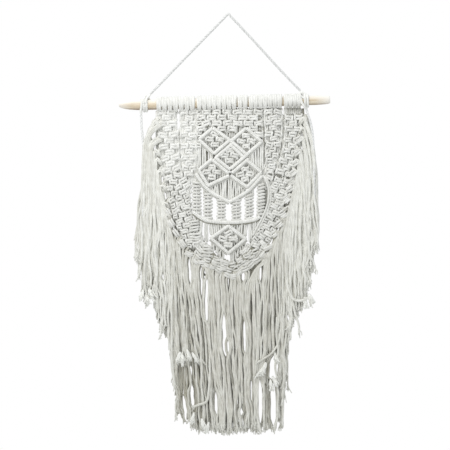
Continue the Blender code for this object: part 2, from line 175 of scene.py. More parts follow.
# Inner edge of the borders as (x, drop), and the doubled cord that follows it on the right as (x, y, drop)
INNER_EDGE = (
    (-64.5, 262), (-63, 320), (-60.4, 333), (-55, 348), (-46, 366), (-33, 386), (-20, 403), (-6, 411),
    (2, 412), (12, 407), (26, 394), (38, 376), (47, 358), (56, 338), (64.5, 318), (68, 300), (69, 268),
)
INNER_CORD = (
    (57, -4, 266), (61.5, -4.8, 274), (65.5, -5, 286), (66.8, -5, 297), (65, -5, 312), (60.5, -4.8, 326),
    (55.5, -4.6, 337), (48.5, -4.6, 350), (40.5, -3.6, 365),
)
# Cords that cover the joins on both sides of the right inner panel, as (x, y, drop)
RIGHT_SEAM = ((90.4, 1, 168), (90.2, 1, 190), (90, 1, 214), (88, 1, 226), (82, 1, 244), (77.4, 1, 262))
CENTRE_SEAM = ((57.8, -0.5, 186), (58, -0.5, 215), (57.2, -0.5, 252))
# Lower end of the cords behind the right outer panel: (x, drop)
RIGHT_BACKING = ((86, 280), (106, 276), (115, 240), (121, 190))

# Lines that the floating cords of the centre panel run between, left and right of the middle diamond
LEFT_FLOATS = (((-47.5, 207.9), (-23.6, 230.2)), ((-48.3, 257.4), (-26.9, 239.3)))
RIGHT_FLOATS = (((29.2, 232.8), (54.4, 211.2)), ((30.9, 241.6), (54, 260.7)))
# Lower sides of the last diamonds, from which cords fan out to the closing line
ROOF = ((-34, 283.6), (0.6, 266.8), (2.4, 266.0), (4.8, 266.8), (30.9, 285.5))
# Cords beside the lower diamonds: x and drop of both ends
BESIDE = (
    (-54, 255, -57.5, 282), (-50.4, 250, -54, 282), (-47, 256, -50.4, 282), (-44, 262, -47, 284),
    (56, 248, 58.6, 276), (59.4, 250, 62, 290), (52.8, 258, 55.4, 282), (49.4, 266, 52, 284),
)

# Sinnets: left and right side, top and bottom drop, and how the bars slope
SINNETS = (
    (-60.4, -43.8, 276, 330, -7), (-42, -25.4, 294, 339, -5), (-19.8, -3.2, 304, 342, -3),
    (4.6, 21.8, 305, 342, 3), (26.8, 42.4, 296, 340, 7), (46.2, 61.6, 279, 333, 9),
)

# Cords that float from the curved line to the small diamond and the borders: x and drop of both ends
FANS = {
    "left_fan": (
        (-53.4, 332, -55, 346), (-50, 334, -51, 353), (-46.6, 336, -47, 359), (-43.6, 337, -44.4, 364),
        (-37.2, 340, -37.6, 372), (-34.6, 341, -35, 376),
    ),
    "upper_left_fan": (
        (-31.4, 341, -28.6, 364), (-28, 342, -26, 366), (-24.6, 342, -22.6, 364), (-21.2, 343, -19.5, 361),
        (-17.6, 343, -15.6, 358), (-14, 343, -12, 356), (-10, 343, -8.6, 354),
    ),
    "upper_right_fan": (
        (8, 343, 7, 354), (11.6, 343, 10.6, 357), (15.4, 343, 14.2, 360), (19, 342, 18, 362),
        (22.6, 342, 21.8, 365), (26.4, 342, 25.4, 368), (30.2, 341, 28.8, 366),
    ),
    "lower_left_fan": (
        (-26.4, 371, -27.4, 386), (-23, 374, -23.4, 390), (-19.4, 377, -19.6, 394), (-15.8, 380, -16, 398),
        (-12, 384, -12.2, 402), (-8.6, 387, -8.8, 405),
    ),
    "lower_right_fan": (
        (4.4, 391, 4.2, 412), (7.8, 388, 7.8, 409), (11.4, 385, 11.8, 405), (15, 382, 16, 401),
        (18.6, 379, 20, 396), (22.4, 376, 24.4, 391), (26, 373, 28.6, 386),
    ),
    "right_fan": (
        (34.6, 340, 35.2, 376), (38, 340, 38.6, 371), (41.2, 339, 42, 366), (44.4, 338, 45.6, 361),
        (47.6, 336, 49, 355), (50.6, 334, 52.4, 349),
    ),
}

# Fringe bundles in order round the rim: x where the bundle falls, x of its tip, drop of its tip
BUNDLES = (
    (-140, -147, 412), (-135, -141, 468), (-131, -135, 478), (-127, -126, 483), (-122, -118, 499),
    (-117, -114, 512), (-112, -107, 524), (-107, -101, 536), (-101.5, -90.5, 580), (-97.5, -89, 636),
    (-93.5, -84, 655), (-89.5, -79, 673), (-86, -71, 678), (-82, -64, 687), (-75, -56, 690), (-65, -47, 693),
    (-55, -38, 692), (-45, -29, 688), (-34, -19, 693), (-24, -10, 695), (-13, -1, 693), (-2, 8, 695),
    (9, 17, 692), (19, 26, 693), (30, 35, 690), (40, 44, 693), (50, 52, 695), (59, 60, 692), (67, 67, 690),
    (76, 79, 692), (83, 85, 686), (89, 87.5, 640), (94, 90, 614), (100, 97, 541), (105, 103, 523),
    (110, 110, 505), (116, 116, 493), (121, 121, 478), (126, 127, 459), (131, 133, 430), (135.5, 139, 409),
    (140, 144, 389),
)
COMBS = {"left_fringe": (0, 14), "centre_fringe": (14, 31), "right_fringe": (31, 42)}
RIM_FIRST = 18  # first bundle, along the rim
RIM_PITCH = 14.9
LOOP_NEAR = 17  # a bundle that starts nearer a loop than this comes over it
SIDE_PITCH, CENTRE_PITCH = 2.6, 3.15  # from strand to strand in one layer of a comb
LAYERS = (-7.6, -3.4, 1.0, 5.4)  # depth of each layer of strands, front to back
STRAND_STEPS = 40
STRAND_RADIUS = 2.0
CUT_SHORT = (0.85, 0.6, 0.15, 0)  # share of each layer that ends high up at the lower left
SHORT_TIPS = (562, 585, 610)  # drops at which short strands end at the lower right

# Where the looped tops of the fringe show on the edge, from the upper left round to the upper right
LOOPS = (
    (-118.5, 180), (-119.5, 210), (-117, 229), (-114.5, 243), (-111, 261), (-107.5, 287), (-101, 315),
    (-98, 334), (58, 402), (66, 385), (78, 363), (88, 341), (95.2, 322), (100, 302), (104, 279),
    (107.6, 261), (110.4, 245), (113.4, 228), (118.3, 207), (120.5, 191), (121.5, 176),
)

# Slits that stay open through the fringe: x and drop of the upper end, of the lower end, and width
SLITS = (
    (-107, 430, -107, 439, 1.6), (-64, 406, -64, 441, 2.2), (-44, 419, -41, 465, 2.6),
    (-38.4, 422, -38.4, 436, 1.8), (-35.3, 439, -37.2, 501, 2.6), (24.3, 423, 24.3, 440, 3.6),
    (53.1, 416, 53.1, 441, 2.6), (-6.3, 500, -6.3, 560, 3.4), (-0.5, 538, -0.5, 558, 2.2),
    (26.7, 508, 26.7, 557, 2.6), (133.2, 408, 133.6, 428, 2.6), (98.5, 497, 98.5, 504, 2.6),
    (-90, 617, -92.4, 637, 3.4), (-70.6, 634, -70.6, 654, 2.2), (-60, 616, -59.6, 648, 2.8),
    (-20.6, 624, -20, 658, 2.8), (22.6, 652, 22.6, 661, 2.4), (38.8, 605, 38.4, 641, 2.4),
    (51.5, 608, 52.8, 674, 3.4), (75.4, 568, 74, 609, 12), (74.4, 613, 75.4, 671, 6.0),
    (-122, 189, -123.5, 207, 6.0), (-121.5, 213, -117, 226, 5.0), (-127.5, 462, -126.5, 500, 5.0),
)

# Strands that wander, each as (x, y, drop)
STRAYS = (
    (
        (-137, -10, 405), (-138, -11, 426), (-137.6, -11, 446), (-134, -11, 462), (-129, -11, 468),
        (-124.4, -11, 464), (-124, -11, 456),
    ),
    (
        (96, -8, 440), (100, -11, 458), (107, -12, 470), (118, -12, 473), (127, -12, 470), (133, -11, 468),
        (134, -11, 474),
    ),
    ((104, -6, 460), (107, -9, 480), (110, -9, 494), (115, -9, 510), (117, -9, 521)),
    ((128, -6, 380), (136, -8, 400), (141, -8, 412), (143.5, -8, 420)),
    ((-30, -8, 590), (-32, -11, 618), (-35, -12, 636), (-40, -12, 641), (-47, -11, 643), (-54, -11, 646)),
    ((86, -8, 520), (82, -11, 542), (73, -12, 557), (63, -12, 565), (52, -11, 572)),
    ((80, -8, 500), (79, -11, 530), (82, -12, 556), (77, -12, 580), (80, -11, 600)),
)
# The two groups of outermost cords at the upper left, which stand away from the work
FOUNTAIN = (
    (-111, -2, 178), (-115.5, -6, 183), (-122, -8.5, 188), (-129, -9, 194), (-134, -9, 202),
    (-137.6, -8.5, 213), (-139.6, -8, 231), (-141, -8, 262), (-142.5, -7, 310), (-145, -6, 360),
    (-148, -6, 404),
)
SECOND_FOUNTAIN = (
    (-112, -1, 206), (-117, -5, 207.5), (-122.5, -7.5, 210), (-127.5, -8, 215), (-130.5, -8, 224),
    (-132, -8, 241), (-133, -8, 262), (-134, -7.5, 290), (-135, -7, 330), (-137, -6, 380), (-138, -6, 440),
)
# Straight strands at the right edge: x, y, and drop of the tip
RIGHT_STRANDS = (
    (124, 3.4, 470), (127.5, 1.4, 466), (131, 3.0, 440), (134.5, 0.6, 448), (126, -4, 478), (130, -5, 455),
)
# Course of each of them: how far it is aside, and drop
RIGHT_COURSE = ((-0.5, 176), (0, 196), (1, 240), (0, 300), (2, 370))
# Brushed-out ends: x, drop and how far each leans aside
TUFTS = (
    (-80, 566, -0.3), (-76, 569, 0.1), (-67, 562, 0.35), (-58, 567, 0.55), (77, 566, 0.3), (58, 589, -0.6),
    (61, 583, -0.3), (70, 612, 0.1), (74, 606, 0.4), (-140, 464, -0.3), (-135, 470, 0.2), (-130, 462, 0.4),
    (134, 470, 0.5), (126, 476, 0.1), (-57, 666, -0.2), (-43, 676, 0.3), (-33, 682, -0.3),
)
# Parts of the fringe darkened with painted shadow, where the inner strands show: x, drop, half width, half
# height, how much
PAINTED_SHADOW_PATCHES = (
    (-66, 612, 23, 44, 0.6), (-46, 526, 11, 28, 0.3), (57, 612, 8, 30, 0.5), (66, 585, 9, 16, 0.5),
    (-45, 655, 8, 16, 0.5), (104, 452, 9, 30, 0.35), (24, 520, 8, 40, 0.25), (-8, 585, 20, 22, 0.15),
)

# The hanging cord and its two tails, as (x, y, drop)
HANGING_CORD = (
    (-129.6, -0.3, 133), (-110, -0.3, 113), (-83, -0.2, 85), (-56, -0.1, 57.2), (-30, 0, 30.4), (-13, 0, 13),
    (-5.5, 0, 5.4), (0, 0, 0), (5.5, 0, 5.6), (13, 0, 13.2), (30, 0, 31.4), (54, -0.1, 57.4), (80, -0.2, 86),
    (102, -0.3, 109.4), (119.9, -0.3, 127.5),
)
LEFT_TAIL = (
    (-143.6, -6, 163), (-143.4, -6.5, 176), (-142.6, -6.8, 190), (-141, -6.9, 206), (-139.6, -6.9, 224),
    (-139.2, -6.9, 248), (-139.8, -6.9, 276), (-140.6, -6.9, 305), (-141.4, -6.9, 334),
)
RIGHT_TAIL = (
    (128.4, -6, 156), (130.4, -6.5, 164), (133.6, -6.8, 174), (137.2, -6.9, 188), (139.4, -6.9, 206),
    (140.4, -6.9, 230), (140.8, -6.9, 256), (141.4, -6.9, 282), (142.4, -6.9, 306),
)
# Each end knot: turns round the dowel as (x at the start, x at the end, first and last angle, gap to the
# wood), and loose parts of the cord as (x, y, drop)
LEFT_KNOT_TURNS = (
    (-141.8, -143.4, 20, 150, 2.3), (-139.6, -137.6, -30, 330, 2.1), (-135.6, -134, -40, 300, 2.1),
)
LEFT_KNOT_CORDS = (
    ((-143.2, -8.9, 155), (-143.9, -8.2, 159.5), (-143.6, -6.2, 164)),
    (
        (-138.6, -11.6, 148), (-139.2, -9.4, 140.2), (-136.6, -3.6, 136.2), (-132.6, 2, 136.6),
        (-131.2, 7.6, 141.5),
    ),
    ((-129.2, -0.3, 132.6), (-131.4, -3.4, 136), (-134.8, -8.2, 140.2), (-136.4, -11.8, 147.5)),
)
RIGHT_KNOT_TURNS = ((125.8, 127.6, -30, 330, 2.1), (130, 131.8, -30, 330, 2.1))
RIGHT_KNOT_CORDS = (
    ((119.6, -0.3, 127.2), (122.6, -2.6, 129.6), (126.2, -4.6, 132.6), (127.6, -7.4, 138.6)),
    (
        (127, 4, 139), (126.4, -1.4, 132.8), (122.8, -3.6, 129.6), (118.6, -4.2, 131.2),
        (118.4, -5.4, 134.8), (122, -6.8, 137.4), (126.2, -7.8, 140),
    ),
    (
        (121.4, 2, 134), (118.6, -3.4, 134.2), (118.8, -9, 140), (121.4, -11.9, 147.4), (125.2, -10.6, 153),
        (128.6, -6.2, 157),
    ),
)

# Sections of the dowel: x, share of its radius there, and how far it is off the axis upwards
DOWEL_SECTIONS = (
    (-180.4, 0.42, 1.4), (-177.5, 0.6, 1.4), (-172, 0.77, 1.0), (-164.5, 0.885, 0.6), (-154, 0.96, 0.2),
    (-146, 1.0, 0), (-120, 1.0, 0), (-60, 1.01, 0), (0, 0.995, 0), (60, 1.01, 0), (120, 1.0, 0),
    (146, 0.99, 0), (158, 0.95, 0.2), (165.5, 0.87, 0.3), (168, 0.72, 0.3),
)
# Whittled faces: a point on each, as x, y and height above the axis, and the way it faces
WHITTLED = (
    ((-170, -4.5, -5.0), (-0.16, -0.62, -0.76)), ((-172, 3.0, -5.8), (-0.2, 0.45, -0.85)),
    ((-174, -5.6, 3.2), (-0.34, -0.78, 0.52)), ((-174, 5.2, 3.6), (-0.34, 0.74, 0.56)),
    ((160, -5.0, -5.2), (0.12, -0.66, -0.74)),
)

# Colours
WHITE = (1, 1, 1, 1)
WOOD_LIGHT, WOOD_GRAIN = (0.93, 0.85, 0.70, 1), (0.62, 0.50, 0.34, 1)
# Beside the wood's own colours: a painted highlight for the dowel's top and painted shade for its underside
WOOD_PAINTED_HIGHLIGHT, WOOD_ENDS, WOOD_PAINTED_SHADE = (0.98, 0.95, 0.89, 1), (0.95, 0.93, 0.88, 1), (0.24, 0.16, 0.10, 1)
FLOOR_COLOUR = (0.85, 0.85, 0.84, 1)
SKY_COLOUR = (0.96, 0.98, 1.0, 1)
WINDOW_COLOUR = (1, 0.985, 0.955)

# Light, in metres and watts
WINDOW_SPOT, WINDOW_AIM = (-0.5, -0.8, 0.5), (-0.05, 0, -0.25)
WINDOW_SIZE, WINDOW_POWER = 0.8, 6.4
SKY_LOW, SKY_HIGH = 0.37, 0.97  # how bright the white room is below and above
FLOOR_SIZE, FLOOR_HEIGHT = 3, -0.95

# Picture
PHOTO_SIZE = 450  # pixels each way
MM_PER_PIXEL = 1.65
NAIL_PIXEL = (228.3, 14)  # where the nail is in that picture
CAMERA_AWAY = 4.0


# Routes


def spots(table):
    """Rows of (x, y, drop) as points in millimetres, Z up."""
    return np.array(table, float) * (1, 1, -1)


def unit(vectors):
    return vectors / np.linalg.norm(vectors, axis=-1, keepdims=True)


def through(waypoints, steps):
    """A smooth route of that many steps through each cord's waypoints."""
    waypoints = np.asarray(waypoints, float)
    if waypoints.ndim == 2:
        waypoints = waypoints[None]
    count = waypoints.shape[1]
    along = np.linspace(0, count - 1, steps)
    first = np.minimum(along.astype(int), count - 2)
    t = (along - first)[:, None]
    lead = 2 * waypoints[:, :1] - waypoints[:, 1:2]
    trail = 2 * waypoints[:, -1:] - waypoints[:, -2:-1]
    led = np.concatenate([lead, waypoints, trail], axis=1)
    before, start, end, after = (led[:, first + i] for i in range(4))
    bend = (end - before) * t + (2 * before - 5 * start + 4 * end - after) * t**2
    return start + (bend + (3 * start - before - 3 * end + after) * t**3) / 2


def smooth(table, steps):
    """The smooth route of one cord through rows of (x, y, drop)."""
    return through(spots(table), steps)[0]


def distances(route):
    """How far each point of a route is from its start, along it."""
    return np.concatenate([[0], np.cumsum(np.linalg.norm(np.diff(route, axis=0), axis=1))])


def rows_at(at, gone, table):
    """Rows of a table at any distances, where gone gives the distance of each row that it has."""
    return np.stack([np.interp(at, gone, column) for column in table.T], axis=-1)


def evenly(route, steps):
    """One route, with its points the same distance apart."""
    gone = distances(route)
    return rows_at(np.linspace(0, gone[-1], steps), gone, route)


def length_of(route):
    return float(np.linalg.norm(np.diff(route, axis=0), axis=1).sum())


def height_at(line, x):
    """Drop at x of a line of (x, drop) corners, or of a level line, given as its drop."""
    if np.ndim(line) == 0:
        return line
    line = np.array(sorted(tuple(map(float, corner)) for corner in line))
    return np.interp(x, line[:, 0], line[:, 1])


def lowered(line, by):
    return tuple((x, drop + by) for x, drop in line)


def between_lines(places, top, low, aside=0.0):
    """Straight cords at those places from one line to another, as x and drop of both ends."""
    return [(x, height_at(top, x), x + aside, height_at(low, x)) for x in places]


def near(value, middle, reach):
    """1 at the middle, falling softly to almost 0 at twice that reach on either side."""
    return np.exp(-((value - middle) / reach) ** 2)


# Laying cord


class Skein:
    """Cords laid one after another, which become the mesh of one piece."""

    def __init__(self):
        self.points, self.tones = [], []
        self.quads, self.fans = [], []
        self.quad_maps, self.fan_maps = [], []
        self.total = 0

    def lay(self, routes, radius, sides=6, press=1.0, lead=(0.03, 1.0, 0.02), tone=None):
        """Lays a cord along each route. press flattens it from front to back."""
        routes = np.asarray(routes, float)
        cords, steps = routes.shape[:2]
        radius = np.broadcast_to(np.asarray(radius, float), (cords, steps))
        ahead = unit(np.gradient(routes, axis=1))
        side = np.cross(ahead[:, 0], lead)
        across = np.empty_like(routes)
        for step in range(steps):
            side = unit(side - (side * ahead[:, step]).sum(1, keepdims=True) * ahead[:, step])
            across[:, step] = side
        out = np.cross(ahead, across)
        turn = np.arange(sides) * 2 * math.pi / sides
        ring = np.cos(turn)[:, None] * across[:, :, None] + np.sin(turn)[:, None] * out[:, :, None]
        ring = ring * radius[:, :, None, None] * (1, press, 1)
        shell = (routes[:, :, None] + ring).reshape(cords, steps * sides, 3)
        start = routes[:, :1] - ahead[:, :1] * radius[:, :1, None] * 0.5
        finish = routes[:, -1:] + ahead[:, -1:] * radius[:, -1:, None] * 0.5
        self.points.append(np.concatenate([shell, start, finish], axis=1).reshape(-1, 3))
        self.connect(cords, steps, sides)
        self.unroll(routes, sides)
        if tone is None:
            tone = chance.uniform(0.88, 1.04, cords)
        self.tones.append(np.repeat(np.broadcast_to(tone, (cords,)), steps * sides + 2))

    def connect(self, cords, steps, sides):
        """Faces of the tubes, with both ends closed."""
        here = np.arange(sides)
        beside = (here + 1) % sides
        ring = np.arange(steps - 1)[:, None] * sides
        quads = np.stack([ring + here, ring + beside, ring + sides + beside, ring + sides + here], axis=-1)
        last = (steps - 1) * sides
        start, finish = np.full(sides, steps * sides), np.full(sides, steps * sides + 1)
        fans = np.concatenate([
            np.stack([start, beside, here], axis=-1),
            np.stack([finish, last + here, last + beside], axis=-1),
        ])
        size = steps * sides + 2
        first = self.total + size * np.arange(cords)[:, None, None]
        self.quads.append((quads.reshape(-1, 4) + first).reshape(-1, 4))
        self.fans.append((fans + first).reshape(-1, 3))
        self.total += size * cords

    def unroll(self, routes, sides):
        """Map of the tubes: once round a cord is 1 across, and a centimetre of cord is 1 along."""
        cords, steps = routes.shape[:2]
        gone = np.linalg.norm(np.diff(routes, axis=1), axis=2).cumsum(axis=1) / 10
        gone = np.concatenate([np.zeros((cords, 1)), gone], axis=1)
        gone += chance.uniform(0, 50, (cords, 1))
        left = np.arange(sides) / sides
        right = left + 1 / sides
        low, high = gone[:, :-1, None], gone[:, 1:, None]
        along_quads = np.stack([low, low, high, high], axis=-1)
        along_fans = gone[:, [0, -1], None, None]
        for maps, across, along in (
            (self.quad_maps, (left, right, right, left), along_quads),
            (self.fan_maps, ((left + right) / 2, left, right), along_fans),
        ):
            across = np.stack(across, axis=-1)
            size = (cords, along.shape[1], *across.shape)
            both = [np.broadcast_to(across, size), np.broadcast_to(along, size)]
            maps.append(np.stack(both, axis=-1).reshape(-1, 2))

    def piece(self, name, node, slot, finish):
        """The mesh of all the cords, riding on the hanging in place of that node."""
        points = np.concatenate(self.points)
        data = bpy.data.meshes.new(name)
        faces = np.concatenate(self.quads).tolist() + np.concatenate(self.fans).tolist()
        data.from_pydata((points * MM).tolist(), [], faces)
        chart = data.uv_layers.new(name="cord")
        chart.data.foreach_set("uv", np.concatenate(self.quad_maps + self.fan_maps).ravel())
        tones = data.attributes.new("tone", "FLOAT", "POINT")
        # The tones are darkened here by painted shade
        tones.data.foreach_set("value", np.concatenate(self.tones) * painted_shading(points, slot))
        data.shade_smooth()
        data.materials.append(finish)
        made = bpy.data.objects.new(name, data)
        bpy.context.scene.collection.objects.link(made)
        settle(made, node)
        return made

    def tied(self, node):
        """The mesh of all the cords as a piece of knotted work."""
        self.piece("tied_" + node, node, "knotted_cotton", KNOTTED)


def settle(made, node):
    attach(made, "root")
    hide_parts(node)


def painted_shading(points, slot):
    """Share of its lightness that the cotton keeps under painted shade, which darkens it low down and in the
    middle.
    """
    x, y, drop = points[:, 0], points[:, 1], -points[:, 2]
    if slot == "fringe_cotton":
        return fringe_painted_shading(x, y, drop)
    if slot == "knotted_cotton":
        return knotted_painted_shading(x, drop)
    return np.ones(len(points))


def fringe_painted_shading(x, y, drop):
    # Painted shade: the fringe is darker in the middle and lower down, darkest just under the knotted edge
    # and in the shadow patches, and deeper strands take more of it. At the upper left the tops of the strands
    # are painted lighter against their shade
    kept = np.interp(np.abs(x), (78, 104), (0.785, 0.92))
    kept = kept * np.interp(drop, (250, 520, 620), (0.99, 0.91, 0.94))
    kept = kept + 0.12 * (x < -100) * (x > -122) * np.interp(drop, (235, 275), (1, 0))
    shade = 0.42 * near(drop - height_at(FIELD_RIM, x), 3, 11) * (drop > 262)
    shade = shade * np.interp(np.abs(x), (88, 102), (1, 0.3))
    kept = kept * (1 - shade * np.clip((y + 9.5) / 3, 0, 1))
    for middle, low, wide, tall, dark in PAINTED_SHADOW_PATCHES:
        patch = near(x, middle, wide) * near(drop, low, tall)
        kept = kept * (1 - dark * patch * np.clip((y + 9) / 4, 0, 1))
    return kept


def knotted_painted_shading(x, drop):
    # Painted shade: darker under the right heading, lower down and a little to the right
    below_heading = 0.45 * near(drop, 158.5, 5) * (x > 97) + 0.16 * near(drop, 151, 5) * (x > 66)
    low_down = 0.18 * np.interp(drop, (160, 360, 400), (0, 0.5, 1))
    to_the_right = 0.03 * np.interp(x, (-60, -20), (0, 1)) * (drop > FIELD_START)
    return 1 - below_heading - low_down - to_the_right


# Finishes


class Wiring:
    """The nodes of a material or of the world, wired up one by one."""

    def __init__(self, owner):
        owner.use_nodes = True
        self.owner = owner
        self.nodes = owner.node_tree.nodes
        self.links = owner.node_tree.links

    def add(self, kind, inputs=(), **settings):
        """A new node, with its own settings and with numbers or other nodes for its inputs."""
        node = self.nodes.new(kind)
        for key, value in settings.items():
            setattr(node, key, value)
        return self.feed(node, dict(inputs))

    def feed(self, node, inputs):
        for key, value in inputs.items():
            if hasattr(value, "outputs"):
                value = value.outputs[0]
            if hasattr(value, "is_linked"):
                self.links.new(value, node.inputs[key])
            else:
                node.inputs[key].default_value = value
        return node

    def sum(self, operation, *values):
        return self.add("ShaderNodeMath", enumerate(values), operation=operation)

    def blend(self, share, first, second):
        node = self.add("ShaderNodeMix", {0: share, 6: first, 7: second}, data_type="RGBA")
        return node.outputs[2]

    def noise(self, place, settings):
        return self.add("ShaderNodeTexNoise", {"Vector": place, **settings})

    def ranged(self, value, lowest, highest, low=0.0, high=1.0):
        """A value between lowest and highest, brought to between low and high."""
        return self.add("ShaderNodeMapRange", {0: value, 1: lowest, 2: highest, 3: low, 4: high})

    def surface(self, inputs):
        """Feeds the surface of a material, and gives the material."""
        self.feed(self.nodes["Principled BSDF"], inputs)
        return self.owner


def cotton(name, dark, light, plies, twist, fibre, relief, mottle):
    """Cotton cord: plies that turn once in that many centimetres, and fine fibres along them."""
    made = Wiring(bpy.data.materials.new(name))
    chart = made.add("ShaderNodeUVMap", uv_map="cord")
    parts = made.add("ShaderNodeSeparateXYZ", {0: chart})
    across, along = parts.outputs[0], parts.outputs[1]
    lay = made.sum("ADD", made.sum("MULTIPLY", across, float(plies)), made.sum("DIVIDE", along, twist))
    wave = made.sum("SINE", made.sum("MULTIPLY", lay, 2 * math.pi))
    half_wave = made.sum("SINE", made.sum("MULTIPLY", lay, math.pi))
    ridge = made.sum("POWER", made.sum("ABSOLUTE", half_wave), 0.6)
    fine, long = made.sum("MULTIPLY", lay, 9.0), made.sum("MULTIPLY", along, 1.3)
    strands = made.add("ShaderNodeCombineXYZ", {0: fine, 1: long})
    fibres = made.noise(strands, {"Scale": fibre, "Detail": 3.0, "Roughness": 0.6})
    place = made.add("ShaderNodeTexCoord")
    cloud = made.noise(place.outputs["Object"], {"Scale": 110.0, "Detail": 3.0})
    tone = made.add("ShaderNodeAttribute", attribute_name="tone")
    share = made.sum("MULTIPLY_ADD", fibres, 0.3, made.sum("MULTIPLY", tone.outputs["Fac"], 0.8))
    share = made.sum("MULTIPLY_ADD", made.sum("SUBTRACT", cloud, 0.38), mottle, share)
    share = made.ranged(made.sum("MULTIPLY_ADD", wave, 0.06, share), 0.2, 1.05)
    height = made.sum("MULTIPLY_ADD", fibres, 0.45, ridge)
    bump = made.add("ShaderNodeBump", {"Height": height, "Strength": relief, "Distance": 0.0006})
    return made.surface({
        "Base Color": made.blend(share, (*dark, 1), (*light, 1)), "Normal": bump, "Roughness": 0.92,
        "Specular IOR Level": 0.2, "Sheen Weight": 0.2, "Sheen Roughness": 0.5,
    })


def pale_wood():
    """Whittled pale wood with its grain along the dowel. A painted highlight makes it pale on top, and
    painted shade makes it dark underneath.
    """
    made = Wiring(bpy.data.materials.new("pale_wood"))
    place = made.add("ShaderNodeTexCoord").outputs["Object"]
    grain = made.add("ShaderNodeMapping", {"Vector": place, "Scale": (9.0, 160.0, 160.0)})
    streaks = made.noise(grain, {"Scale": 2.2, "Detail": 5.0, "Roughness": 0.6})
    rings = made.add("ShaderNodeMapping", {"Vector": place, "Scale": (5.0, 70.0, 70.0)})
    bands = made.noise(rings, {"Scale": 1.6, "Detail": 2.0, "Distortion": 0.6})
    share = made.sum("MULTIPLY_ADD", streaks, 0.6, made.sum("MULTIPLY", bands, 0.6))
    colour = made.blend(made.ranged(share, 0.4, 0.8), WOOD_LIGHT, WOOD_GRAIN)
    spot = made.add("ShaderNodeSeparateXYZ", {"Vector": place})
    raised = made.sum("ADD", spot.outputs[2], DOWEL_DROP * MM)
    height = made.sum("MULTIPLY_ADD", spot.outputs[0], -DOWEL_RISE, raised)
    from_middle = made.sum("ABSOLUTE", made.sum("ADD", spot.outputs[0], 0.008))
    # Paler towards the ends, with a painted highlight on top and painted shade underneath
    for value, start, end, paint in (
        (height, 0.0, 0.007, WOOD_PAINTED_HIGHLIGHT), (from_middle, 0.15, 0.174, WOOD_ENDS),
        (height, -0.0045, -0.0078, WOOD_PAINTED_SHADE),
    ):
        colour = made.blend(made.ranged(value, start, end, 0.0, 0.8), colour, paint)
    rough = made.add("ShaderNodeMapRange", {0: streaks, 3: 0.5, 4: 0.68})
    bump = made.add("ShaderNodeBump", {"Height": streaks, "Strength": 0.35, "Distance": 0.0004})
    return made.surface({"Base Color": colour, "Roughness": rough, "Normal": bump})


KNOTTED = cotton("knotted_cord", (0.28, 0.27, 0.21), (0.93, 0.93, 0.9), 3, 1.7, 2.2, 0.2, 0.35)
FRINGE = cotton("fringe_cord", (0.33, 0.31, 0.23), (0.93, 0.93, 0.885), 3, 2.4, 3.2, 0.35, 0.45)
TWISTED = cotton("twisted_ply", (0.30, 0.30, 0.29), (0.88, 0.885, 0.875), 2, 1.6, 2.0, 0.2, 0.1)


# Dowel


def dowel_radius(x):
    share = (x - DOWEL_LEFT) / (DOWEL_RIGHT - DOWEL_LEFT)
    return DOWEL_RADIUS_LEFT + (DOWEL_RADIUS_RIGHT - DOWEL_RADIUS_LEFT) * share


def dowel_axis(x):
    """Drop of the dowel's axis: its right end hangs a little higher."""
    return DOWEL_DROP - DOWEL_RISE * x


def make_dowel():
    """A round length of wood, whittled to a blunt point at its left end."""
    bpy.ops.object.select_all(action="DESELECT")
    x, share, lift = DOWEL_SECTIONS[0]
    bpy.ops.mesh.primitive_circle_add(
        vertices=40, radius=dowel_radius(x) * share * MM, fill_type="NGON",
        location=(x * MM, 0, lift * MM), rotation=(0, -math.pi / 2, 0),
    )
    dowel = bpy.context.active_object
    dowel.name = "whittled_dowel"
    bpy.ops.object.transform_apply(location=True, rotation=True, scale=True)
    bpy.ops.object.mode_set(mode="EDIT")
    bpy.ops.mesh.select_all(action="SELECT")
    for (x0, share0, lift0), (x1, share1, lift1) in zip(DOWEL_SECTIONS, DOWEL_SECTIONS[1:]):
        step = ((x1 - x0) * MM, 0, (lift1 - lift0) * MM)
        bpy.ops.mesh.extrude_region_move(TRANSFORM_OT_translate={"value": step})
        grow = dowel_radius(x1) * share1 / (dowel_radius(x0) * share0)
        bpy.ops.transform.resize(value=(1, grow, grow), center_override=(x1 * MM, 0, lift1 * MM))
    for spot, facing in WHITTLED:
        bpy.ops.mesh.select_all(action="SELECT")
        bpy.ops.mesh.bisect(
            plane_co=[value * MM for value in spot], plane_no=facing, use_fill=True, clear_outer=True,
        )
    bpy.ops.mesh.select_all(action="SELECT")
    bpy.ops.mesh.remove_doubles(threshold=0.02 * MM)
    bpy.ops.mesh.normals_make_consistent(inside=False)
    bpy.ops.transform.rotate(value=math.atan(DOWEL_RISE), orient_axis="Y", center_override=(0, 0, 0))
    bpy.ops.transform.translate(value=(0, 0, -DOWEL_DROP * MM))
    bpy.ops.object.mode_set(mode="OBJECT")
    soften = dowel.modifiers.new("worn edges", "BEVEL")
    soften.width = 0.5 * MM
    soften.segments = 2
    soften.limit_method = "ANGLE"
    soften.angle_limit = math.radians(14)
    bpy.ops.object.modifier_apply(modifier=soften.name)
    bpy.ops.object.shade_smooth_by_angle(angle=math.radians(32))
    dowel.data.materials.append(pale_wood())
    settle(dowel, "dowel")


def dowel_turn(x, start, finish, radius, steps, drift=0.0):
    """Route of a cord round the dowel at x. Angles in degrees: 0 is the top, 90 the front."""
    turn = np.radians(np.linspace(start, finish, steps))
    across = x + drift * np.linspace(-0.5, 0.5, steps)
    return np.stack([across, -radius * np.sin(turn), radius * np.cos(turn) - dowel_axis(x)], axis=-1)


# Free cords


